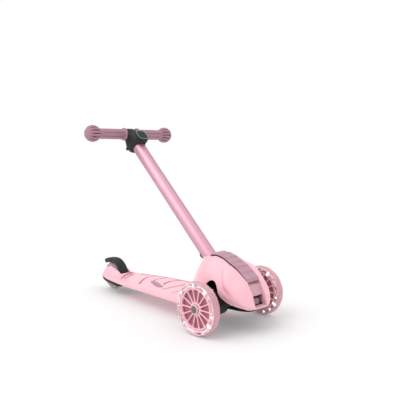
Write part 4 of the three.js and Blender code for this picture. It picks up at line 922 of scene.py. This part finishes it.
def wheel_hub(name, side):
    y = side * TRACK
    rim = rounded([[44.3, -9.4], [RIM_R, -9.4], [RIM_R, 9.4], [44.3, 9.4]], 1.2)
    boss = rounded([[0, -8.5], [15.2, -8.5], [15.2, 8.5], [0, 8.5]], [0, 1.6, 1.6, 0], False)
    parts = [turned("rim", [[r, h + y] for r, h in rim], (0, 0, WHEEL_R), 160),
             turned("boss", [[r, h + y] for r, h in boss], (0, 0, WHEEL_R), 96)]
    for i in range(SPOKES):
        a = i / SPOKES * 2 * math.pi
        rings = []
        for r, half, deep in ((13, 2.5, 7.9), (17, 1.9, 7.8), (24, 1.6, 7.4), (38, 1.6, 7.2), (42.5, 2.0, 7.6), (46, 3.0, 8.2)):
            c, s = math.cos(a), math.sin(a)
            cx, cz = r * c, r * s
            ring = [(-half, -deep + 1.2), (-half + 0.9, -deep), (half - 0.9, -deep), (half, -deep + 1.2),
                    (half, deep - 1.2), (half - 0.9, deep), (-half + 0.9, deep), (-half, deep - 1.2)]
            rings.append([(cx - s * t, y + d, WHEEL_R + cz + c * t) for t, d in ring])
        parts.append(ring_body("spoke", rings))
    parts.append(turned("web", [[13, y - 1.2], [46, y - 1.2], [46, y + 1.2], [13, y + 1.2]], (0, 0, WHEEL_R), 128))
    hub = melted(joined(name, parts), 0.62, 2, 0.5)
    tools = [rod_y(11.3, 1.6 + y, 12 + y, 0, WHEEL_R, 64), rod_y(11.3, -12 + y, -1.6 + y, 0, WHEEL_R, 64),
             rod_y(8.4, -12 + y, 12 + y, 0, WHEEL_R, 64)]
    bool_with(hub, tools)
    return hub


def wheel_tyre(name, side):
    y = side * TRACK
    half = [(52.6, 6.4), (49.0, 6.4), (49.0, 9.7), (50.2, 10.9), (53.5, 11.5), (56.6, 11.3), (58.7, 10.4), (59.3, 10.3),
            (60.6, 8.5), (61.8, 5.6), (62.5, 1.9)]
    loop = half + [(r, -h) for r, h in reversed(half)]
    radii = [0.4, 0.4, 0.9, 1.0, 1.2, 1.2, 0.3, 0.4, 1.6, 1.6, 1.6]
    prof = rounded(loop, radii + radii[::-1], True, 4)
    ob = turned(name, [[r, h + y] for r, h in prof], (0, 0, WHEEL_R), 192)
    return ob


# Lamps in the clear band, set and sized where glints show, so their glow is partly painted highlight: angle, half
# length along the radius, half width round the wheel.
LAMP_GLINTS = {
    -1: [(54.4, 5.7, 3.4), (95.4, 3.6, 2.2), (145.6, 3.4, 2.1), (-6.9, 3.0, 1.9), (-32.5, 5.7, 3.6)],
    1: [(60.6, 5.6, 3.3), (-8.8, 2.8, 2.0), (-28, 5.6, 3.4), (-72.7, 2.8, 2.0), (-49.8, 2.8, 2.0)],
}


def wheel_ring(name, side):
    """Ring of the lamps, with one capsule for each lamp that shows at both faces; the capsules sit where glints show
    and glow partly as painted highlights.
    """
    y = side * TRACK
    ring = turned("ring", [[r, h + y] for r, h in rounded([[49.1, -6], [52.1, -6], [52.1, 6], [49.1, 6]], 0.5)],
                  (0, 0, WHEEL_R), 128)
    for p in ring.data.polygons:
        p.material_index = 0
    lamps = []
    for angle, length, width in LAMP_GLINTS[side]:
        a = math.radians(angle)
        ca, sa = math.cos(a), math.sin(a)
        rings = []
        for u in np.linspace(-1, 1, 17):
            k = math.sqrt(max(1 - abs(u) ** 2.6, 0.0))
            r = 53.9 + u * length
            w, d = max(width * k, 0.05), max(0.9 * k, 0.05)
            face = float(np.interp(r, [48, 50, 53.5, 56.6, 58.7, 59.6], [10.3, 10.95, 11.5, 11.3, 10.6, 10.2]))
            ring_pts = []
            for v in np.linspace(0, 2 * math.pi, 16, endpoint=False):
                t, h = w * math.cos(v), face - 0.25 + d * math.sin(v)
                ring_pts.append((r * ca - t * sa, h, WHEEL_R + r * sa + t * ca))
            rings.append(ring_pts)
        for face in (-1, 1):
            lamps.append(ring_body("lamp", [[(px, y + face * ph, pz) for px, ph, pz in r] for r in rings]))
    n_ring = len(ring.data.polygons)
    ob = joined(name, [ring] + lamps)
    for i, p in enumerate(ob.data.polygons):
        p.material_index = 0 if i < n_ring else 1
    return ob


for side, tag in ((-1, "right"), (1, "left")):
    body = "front_wheel_" + tag
    hub = wheel_hub("wheel_hub_" + tag, side)
    dress(hub, body, [pink_hub, hub_web_painted_shade], ["hub_" + tag], 40)
    spots = centres(hub)
    r = np.hypot(spots[:, 0], spots[:, 2] - WHEEL_R)
    # painted shade: the web between the spokes takes the darker mauve
    web = (15.4 < r) & (r < 44.6) & (np.abs(spots[:, 1] - side * TRACK) < 4.0)
    hub.data.polygons.foreach_set("material_index", web.astype(np.int32))
    tyre = wheel_tyre("wheel_tyre_" + tag, side)
    dress(tyre, body, [tyre_pink, band], ["tyre_" + tag], 40)
    for p in tyre.data.polygons:
        c = p.center
        r = math.hypot(c.x * 1000 - AXLE_X, c.z * 1000 - WHEEL_R)
        p.material_index = 1 if r < 59.0 else 0
    ring = wheel_ring("lamp_ring_" + tag, side)
    dress(ring, body, [ring_clear, lamp], ["led_ring_" + tag], 50)
    y = side * TRACK
    o = lambda h: y + side * h
    cap = turned("wheel_cap_" + tag, [
        [0, o(12.6)], [8.2, o(12.6)], [8.2, o(9.2)], [10.7, o(9.2)], [11, o(9.6)], [11, o(11.2)], [10.7, o(12.0)],
        [9.9, o(12.7)], [8.9, o(13.1)], [8.3, o(12.75)], [7.4, o(12.75)], [6.6, o(13.2)], [4.6, o(13.75)],
        [2.4, o(13.95)], [0, o(14)],
    ], (0, 0, WHEEL_R), 72)
    dress(cap, body, [grey, pink_hub], ["hub_cap_" + tag], 35)
    spots = centres(cap)
    r = np.hypot(spots[:, 0], spots[:, 2] - WHEEL_R)
    cap.data.polygons.foreach_set("material_index", (r > 9.3).astype(np.int32))

# ------------------------------------------------------------------ rear wheel
rear_profile = [[29.3, -9.8], [29.3, 9.8], [33, 11.8], [38, 8.4], [40, 3.2], [40, -3.2], [38, -8.4], [33, -11.8]]
rear_tyre = turned("rear_wheel_tyre", rounded(rear_profile, [0.4, 0.4, 2.2, 2.4, 3, 3, 2.4, 2.2], True, 5),
                   (REAR_X, 0, REAR_R), 128)
dress(rear_tyre, "rear_wheel", rear_pink, ["rear_tyre"])
rear_hub = turned("rear_wheel_hub", rounded([
    [8.4, -1.6], [8.4, 1.6], [11.3, 1.6], [11.3, 9.3], [14.6, 9.3], [15.4, 3.4], [25, 3.4], [25.6, 9.6], [29, 9.6],
    [29, -9.6], [25.6, -9.6], [25, -3.4], [15.4, -3.4], [14.6, -9.3], [11.3, -9.3], [11.3, -1.6]], 0.7, True, 3),
    (REAR_X, 0, REAR_R), 96)
dress(rear_hub, "rear_wheel", pink_hub, ["rear_hub"])

# ------------------------------------------------------------------ rear fender brake
FENDER = [
    [-429.7, 46, 15.4, 5], [-430.6, 53, 16.2, 4.8], [-433, 61, 16.4, 4.5], [-438, 70, 16.2, 4.3],
    [-446, 79, 15.8, 4.2], [-457, 86.7, 15.4, 4], [-469, 90.8, 15, 4], [-482, 91.4, 14.6, 4],
    [-493, 89.6, 14.4, 4.4], [-500, 87.8, 14.2, 4.8], [-505, 86.2, 14, 5.2], [-511, 84.0, 13.6, 5.4],
]


def fender_body():
    rows = np.array(FENDER, float)
    n = np.concatenate([[0], np.cumsum(np.hypot(np.diff(rows[:, 0]), np.diff(rows[:, 1])))])
    at = np.concatenate([np.arange(0, n[-1], 1.5), [n[-1]]])
    fine = curve_through(n, rows, at)
    d = np.gradient(fine[:, :2], axis=0)
    d /= np.linalg.norm(d, axis=1, keepdims=True)
    total = n[-1]
    rings = []
    for (x, z, hw, t), (dx, dz), s in zip(fine, d, at):
        nx, nz = dz, -dx
        # the loft's middle line runs up and back, so the outside is to its right
        ends = step(0, 7, total - s)
        hw = hw * (0.8 + 0.2 * math.sqrt(max(0.0, 1 - (1 - min(1.0, (total - s) / 7)) ** 2)))
        ring = []
        for u in np.linspace(-1, 1, 41):
            y = u * hw
            over = t / 2 + 0.5 - 0.9 * abs(u) ** 2 - 1.9 * max(0.0, (abs(u) - 0.8) / 0.2) ** 2
            ridge = 0.75 * (np.exp(-((abs(u) - 0.34) / 0.07) ** 2)) * ends * step(10, 20, s)
            valley = -0.55 * np.exp(-(u / 0.2) ** 2) * ends * step(10, 20, s)
            ring.append((x + nx * (over + ridge + valley), y, z + nz * (over + ridge + valley)))
        for u in np.linspace(1, -1, 21):
            y = u * hw
            # the sides fold down behind the wheel's top
            fold = 1.6 + 6.8 * step(0.34, 0.6, s / total) * (1 - 0.55 * step(0.9, 1.0, s / total))
            d_in = -t / 2 - fold * float(step(0.8, 0.9, abs(u)))
            ring.append((x + nx * d_in, y, z + nz * d_in))
        rings.append(ring)
    ob = ring_body("fender", rings)
    bool_with(ob, [rod_y(5.4, -15.6, -6.4, -429.5, 45), rod_y(5.4, 6.4, 15.6, -429.5, 45)], "UNION")
    bool_with(ob, [rod_y(2.9, -30, 30, -429.5, 45), rod_y(6.4, -6.1, 6.1, -429.5, 45)])
    return ob


fender = fender_body()
soften(fender, 0.6, 2, 45)
settle(fender)
dress(fender, "rear_brake", black, ["brake_fender"], 40)

# ------------------------------------------------------------------ stem, clamp, grips
top = STEM_LENGTH - 13.6
stem = turned("stem", rounded([[14.2, -78], [17.5, -78], [17.5, top], [14.2, top]], 0.5, True, 3), seg=128,
              frame_of=STEM_BASE)
hole = ring_body("tool", [from_stem([
    (x, 5.9 * math.cos(a), 15.5 + 8.9 * math.sin(a)) for a in np.linspace(0, 2 * math.pi, 40, endpoint=False)
], STEM_BASE) for x in (-22, -12)])
bool_with(stem, [hole])
dress(stem, "t_bar", stem_paint, ["stem_tube"], 40)

# Bush round the stem's foot, cut a little below the hood's surface and coloured dark as painted shade of the gap.
collar = turned("collar", [[17.85, -27], [20.2, -27], [20.2, 12], [17.85, 12]], seg=96, frame_of=STEM_BASE)
hood_outer.data.transform(Matrix.Translation((0, 0, -0.0005)))
bool_with(collar, [hood_outer], "INTERSECT")
dress(collar, "chassis", collar_painted_shade, ["stem_collar"])


def squircle(n, k, u, v, a, b):
    out = []
    for t in np.linspace(0, 2 * math.pi, n, endpoint=False):
        c, s = math.cos(t), math.sin(t)
        out.append((u + a * math.copysign(abs(c) ** (2 / k), c), v + b * math.copysign(abs(s) ** (2 / k), s)))
    return out


def clamp_shape():
    collar_rows = np.array([
        [-54.5, -19.5, 12, 19], [-52, -23.5, 18.5, 21.6], [-44, -27.5, 21.6, 23.8], [-32, -28, 22, 24], [-20, -25, 20, 21.6],
        [-8, -20, 17, 20.3], [4, -16, 15, 20.3], [12, -11.5, 11, 20.3], [15.4, -7, 7, 19.6]])
    zs = np.linspace(-54.5, 15.4, 60)
    rows = curve_through(collar_rows[:, 0], collar_rows[:, 1:], zs)
    rings = [from_stem([(x, y, z) for x, y in squircle(64, 2.6, (r[0] + r[1]) / 2, 0, (r[1] - r[0]) / 2, r[2])])
             for z, r in zip(zs, rows)]
    a = ring_body("collar part", rings)
    block_rows = np.array([[0, -29.5, 21.5, 19.5], [14, -35.5, 20.5, 22.6], [24, -39, 20, 21.4], [30, -40, 18.2, 18.4]])
    xs = np.linspace(0, 30, 30)
    rows = curve_through(block_rows[:, 0], block_rows[:, 1:], xs)
    rings = [from_stem([(x, y, z) for y, z in squircle(64, 2.8, 0, r[0], r[2], r[1])]) for x, r in zip(xs, rows)]
    b = ring_body("block part", rings)
    ob = melted(joined("clamp", [a, b]), 0.8, 6, 0.5)
    tools = [
        rod_y(11.4, -60, 60, BAR[0], BAR[2], 72),
        stem_rod(17.8, -90, -13, BAR, 96),
        rod_y(18.2, 20.4, 40, BAR[0], BAR[2], 72),
        rod_y(18.2, -40, -20.4, BAR[0], BAR[2], 72),
        stem_block(6, 22.5, -12.6, 12.6, -70, -49.6),
        stem_block(-40, -10, -0.9, 0.9, -70, -12),
    ]
    bolt = BAR - 22.4 * EX - 36 * EZ
    for r, y0, y1 in ((2.9, -40, 40), (5.6, 16.2, 40), (5.6, -40, -16.2)):
        tools.append(rod_y(r, y0, y1, bolt[0], bolt[2], 40))
    bool_with(ob, tools)
    return ob


clamp = clamp_shape()
soften(clamp, 0.5, 2, 50)
settle(clamp)
dress(clamp, "t_bar", black, ["clamp_body"], 40)

SHIELD = lambda x, w: from_stem([(x, y, z) for y, z in squircle(72, 3, 0, -40, w, w)])
cap = ring_body("clamp_face", [SHIELD(30.3, 17.4), SHIELD(30.6, 18.3), SHIELD(31.2, 18.9), SHIELD(33.4, 18.9),
                               SHIELD(34.2, 18.5), SHIELD(34.7, 17.9), SHIELD(34.8, 17.2), SHIELD(34.7, 16.4)])
dress(cap, "t_bar", black, ["clamp_cap"])
badge_rings = [SHIELD(35.05, 16.9), SHIELD(36.2, 16.9), SHIELD(36.6, 16.6), SHIELD(36.7, 16.1), SHIELD(36.6, 15.6),
               SHIELD(36.1, 15.2), SHIELD(36.0, 14.5), SHIELD(36.15, 9.0), SHIELD(36.3, 4.0)]
badge = ring_body("clamp_badge_plate", badge_rings)
dress(badge, "t_bar", [badge_black, badge_rim], ["clamp_badge"], 50)
for p in badge.data.polygons:
    q = (np.array(p.center) * 1000 - (AXLE_X, 0, 0)) - BAR
    y, z = q @ EY, q @ EZ + 40
    r = (abs(y) ** 3 + abs(z) ** 3) ** (1 / 3)
    p.material_index = 1 if 15.3 < r < 16.8 and len(p.vertices) == 4 else 0


def grip_body(name, side):
    prof = [(0, 140.6), (11.4, 140.6), (11.4, 20.7), (17.0, 20.7), (17.6, 20.9), (17.8, 21.5), (17.8, 24.0),
            (17.5, 24.8), (16.6, 25.4), (15.4, 26.0), (14.7, 27.0), (14.45, 28.4)]
    prof += [(14.4, y) for y in np.arange(30, 98.1, 1.6)]
    neck = [(14.4, 99), (14.35, 102), (14.3, 105)]
    ball = [(22.6 * math.cos(a), 126.8 + 22.6 * math.sin(a)) for a in np.radians(np.linspace(-46, 89.2, 80))]
    join_y = np.linspace(106, ball[0][1] - 0.8, 5)
    blend = curve_through([102, 105, ball[0][1], ball[1][1]], [14.35, 14.6, ball[0][0], ball[1][0]], join_y)
    prof += neck + list(zip(blend, join_y)) + ball + [(0, 149.4)]

    def shape(r, h, a):
        y = np.abs(h)
        outer = (np.arange(r.shape[0])[:, None] > 4) & (r > 0.5)
        # pleats: narrow cuts that run from the neck over the widest part and taper out at both ends
        cuts = np.abs(np.sin(7 * a + 0.1))  # 14 around
        reach = step(106, 113, y) * step(146, 134, y)
        width = 0.16 + 0.34 * reach
        pleat = np.clip(1 - cuts / width, 0, 1) ** 0.8
        r = r - np.where(outer, pleat * reach * 3.6, 0)
        # lengthwise lines on the shaft
        for k in range(8):
            d = (a - (k + 0.35) / 8 * 2 * math.pi + math.pi) % (2 * math.pi) - math.pi
            line = np.exp(-((d * 14.4 / 1.0) ** 2)) * step(28, 31, y) * step(103, 98, y)
            r = r - np.where(outer, line * 1.0, 0)
        return r

    return turned(name, [[r, side * y] for r, y in prof], tuple(BAR), 336, shape=shape)


for side, tag in ((-1, "right"), (1, "left")):
    g = grip_body("hand_grip_" + tag, side)
    dress(g, "t_bar", [grip_mauve, mauve_painted_shade, grip_line_painted_shade], ["grip_" + tag], 55)
    spots = centres(g)
    a = np.arctan2(spots[:, 2] - BAR[2], spots[:, 0] - BAR[0])
    r, along = np.hypot(spots[:, 2] - BAR[2], spots[:, 0] - BAR[0]), np.abs(spots[:, 1])
    reach = step(106, 113, along) * step(146, 134, along)
    pleat = np.clip(1 - np.abs(np.sin(7 * a + 0.1)) / (0.16 + 0.34 * reach), 0, 1) ** 0.8 * reach
    # painted shade: faces in the pleat cuts take the dark mauve
    kinds = np.where(pleat > 0.42, 1, 0)
    off = (a[:, None] - (np.arange(8) + 0.35) / 8 * 2 * math.pi + math.pi) % (2 * math.pi) - math.pi
    # painted shade: faces in the shaft's lengthwise lines take the darker mauve
    kinds[(np.abs(off).min(1) * 14.4 < 0.75) & (along > 29.5) & (along < 101.5) & (r > 12)] = 2
    g.data.polygons.foreach_set("material_index", kinds.astype(np.int32))

# ------------------------------------------------------------------ the other visible solids, as clean rounded skins
refined("tail_skirt", "skirt", "chassis", black, 0.8)
refined("front_floor", "floor_plate", "chassis", black, 0.5)
refined("nose_insert", "channel_lining", "chassis", lining_mauve, 0.5)
refined("slot_bar", "slot_block", "chassis", slot_mauve, 0.8, 3)
refined("axle_beam", "beam", "front_axle", black, 1.2, 3)
refined("release_button", "button", "release_button", black, 0.5, 2)
refined("chassis_bracket", "bracket", "chassis", black, 0.5)

# Everything else keeps its CAD shape and gets its finish.
KINDS = {
    "steel": ["tail_screw_right", "tail_screw_left", "bracket_bolt_right", "bracket_bolt_left", "kingpin", "kingpin_nut",
              "post_bolt", "axle_right", "axle_left", "rear_axle", "brake_pin",
              "brake_spring", "button_spring"] + [
        f"{k}_{t}" for k in ("bearing_outer", "bearing_inner", "spacer") for t in ("right", "left")] + [
        "rear_bearing_right", "rear_bearing_left", "rear_spacer"],
    "bush_rubber": ["steering_bush_rear", "steering_bush_front"],
    "black_plastic": ["stem_socket", "clamp_bolt", "clamp_nut"],
    "grey_plastic": ["lower_bush", "brake_shoe"],
    "aluminium": ["stem_post", "handlebar_tube"],
}
for kind, names in KINDS.items():
    for n in names:
        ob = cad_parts[n]
        ob.data.materials.clear()
        ob.data.materials.append(SLOT_STUFF[kind])
        soften(ob, 0.25, 2, 40)

# ------------------------------------------------------------------ floor, light, camera
floor_kind = Stuff("pale studio floor", (0.77, 0.77, 0.77, 1), 0.998, 1.0, 0.6, (0.7, 0.76), 3, 500, 0.02, 0.05,
                   specular=0.05)
floor_kind.shader.inputs["Emission Color"].default_value = (1.0, 1.0, 1.0, 1.0)
floor_kind.shader.inputs["Emission Strength"].default_value = 0.11
floor_stuff = floor_kind.material
bm = bmesh.new()
bmesh.ops.create_circle(bm, cap_ends=True, segments=96, radius=14)
me = bpy.data.meshes.new("studio floor")
bm.to_mesh(me)
bm.free()
floor = bpy.data.objects.new("studio_floor", me)
floor.location = (0, 0, -0.0003)
me.materials.append(floor_stuff)
scene.collection.objects.link(floor)

# Studio room: white behind the scooter and overhead, dimmer on the tail's side and behind the camera.
world = bpy.data.worlds.new("studio")
world.use_nodes = True
room = world.node_tree


def room_term(direction, low, high, most):
    dot = room.nodes.new("ShaderNodeVectorMath")
    dot.operation = "DOT_PRODUCT"
    dot.inputs[1].default_value = direction
    room.links.new(room_place.outputs["Generated"], dot.inputs[0])
    n = room.nodes.new("ShaderNodeMapRange")
    n.interpolation_type = "SMOOTHSTEP"
    n.inputs[1].default_value, n.inputs[2].default_value = low, high
    n.inputs[3].default_value, n.inputs[4].default_value = 0.0, most
    room.links.new(dot.outputs["Value"], n.inputs[0])
    return n.outputs[0]


def room_sum(a, b):
    n = room.nodes.new("ShaderNodeMath")
    room.links.new(a, n.inputs[0])
    room.links.new(b, n.inputs[1])
    return n.outputs[0]


room_place = room.nodes.new("ShaderNodeTexCoord")
glow = room_sum(room_term((-0.7071, -0.7071, 0.0), 0.42, 0.85, -0.55), room_term((0.7071, -0.7071, 0.0), 0.1, 0.8, -0.1))
plus = room.nodes.new("ShaderNodeMath")
plus.inputs[1].default_value = 1.0
room.links.new(glow, plus.inputs[0])
room.links.new(plus.outputs[0], room.nodes["Background"].inputs[1])
room.nodes["Background"].inputs[0].default_value = (1.0, 1.0, 1.0, 1)
scene.world = world


sun = bpy.data.lights.new("wide top light", "SUN")
sun.angle, sun.energy = math.radians(60), 1.4
lamp_stand = bpy.data.objects.new("wide top light", sun)
lamp_stand.rotation_euler = Vector((0.28, 0.66, -0.69)).to_track_quat("-Z", "Y").to_euler()
scene.collection.objects.link(lamp_stand)

scene.view_settings.view_transform = "Standard"
scene.view_settings.look = "None"

yaw, pitch = math.radians(135.1), math.radians(5.42)
looking = Vector((math.cos(yaw) * math.cos(pitch), math.sin(yaw) * math.cos(pitch), -math.sin(pitch)))
cam_data = bpy.data.cameras.new("camera")
cam_data.lens, cam_data.sensor_width = 48.08, 36.0
cam_data.clip_start, cam_data.clip_end = 0.05, 100
cam = bpy.data.objects.new("camera", cam_data)
cam.location = (1.0564, -0.9447, 0.4210)
cam.rotation_euler = looking.to_track_quat("-Z", "Y").to_euler()
scene.collection.objects.link(cam)
scene.camera = cam
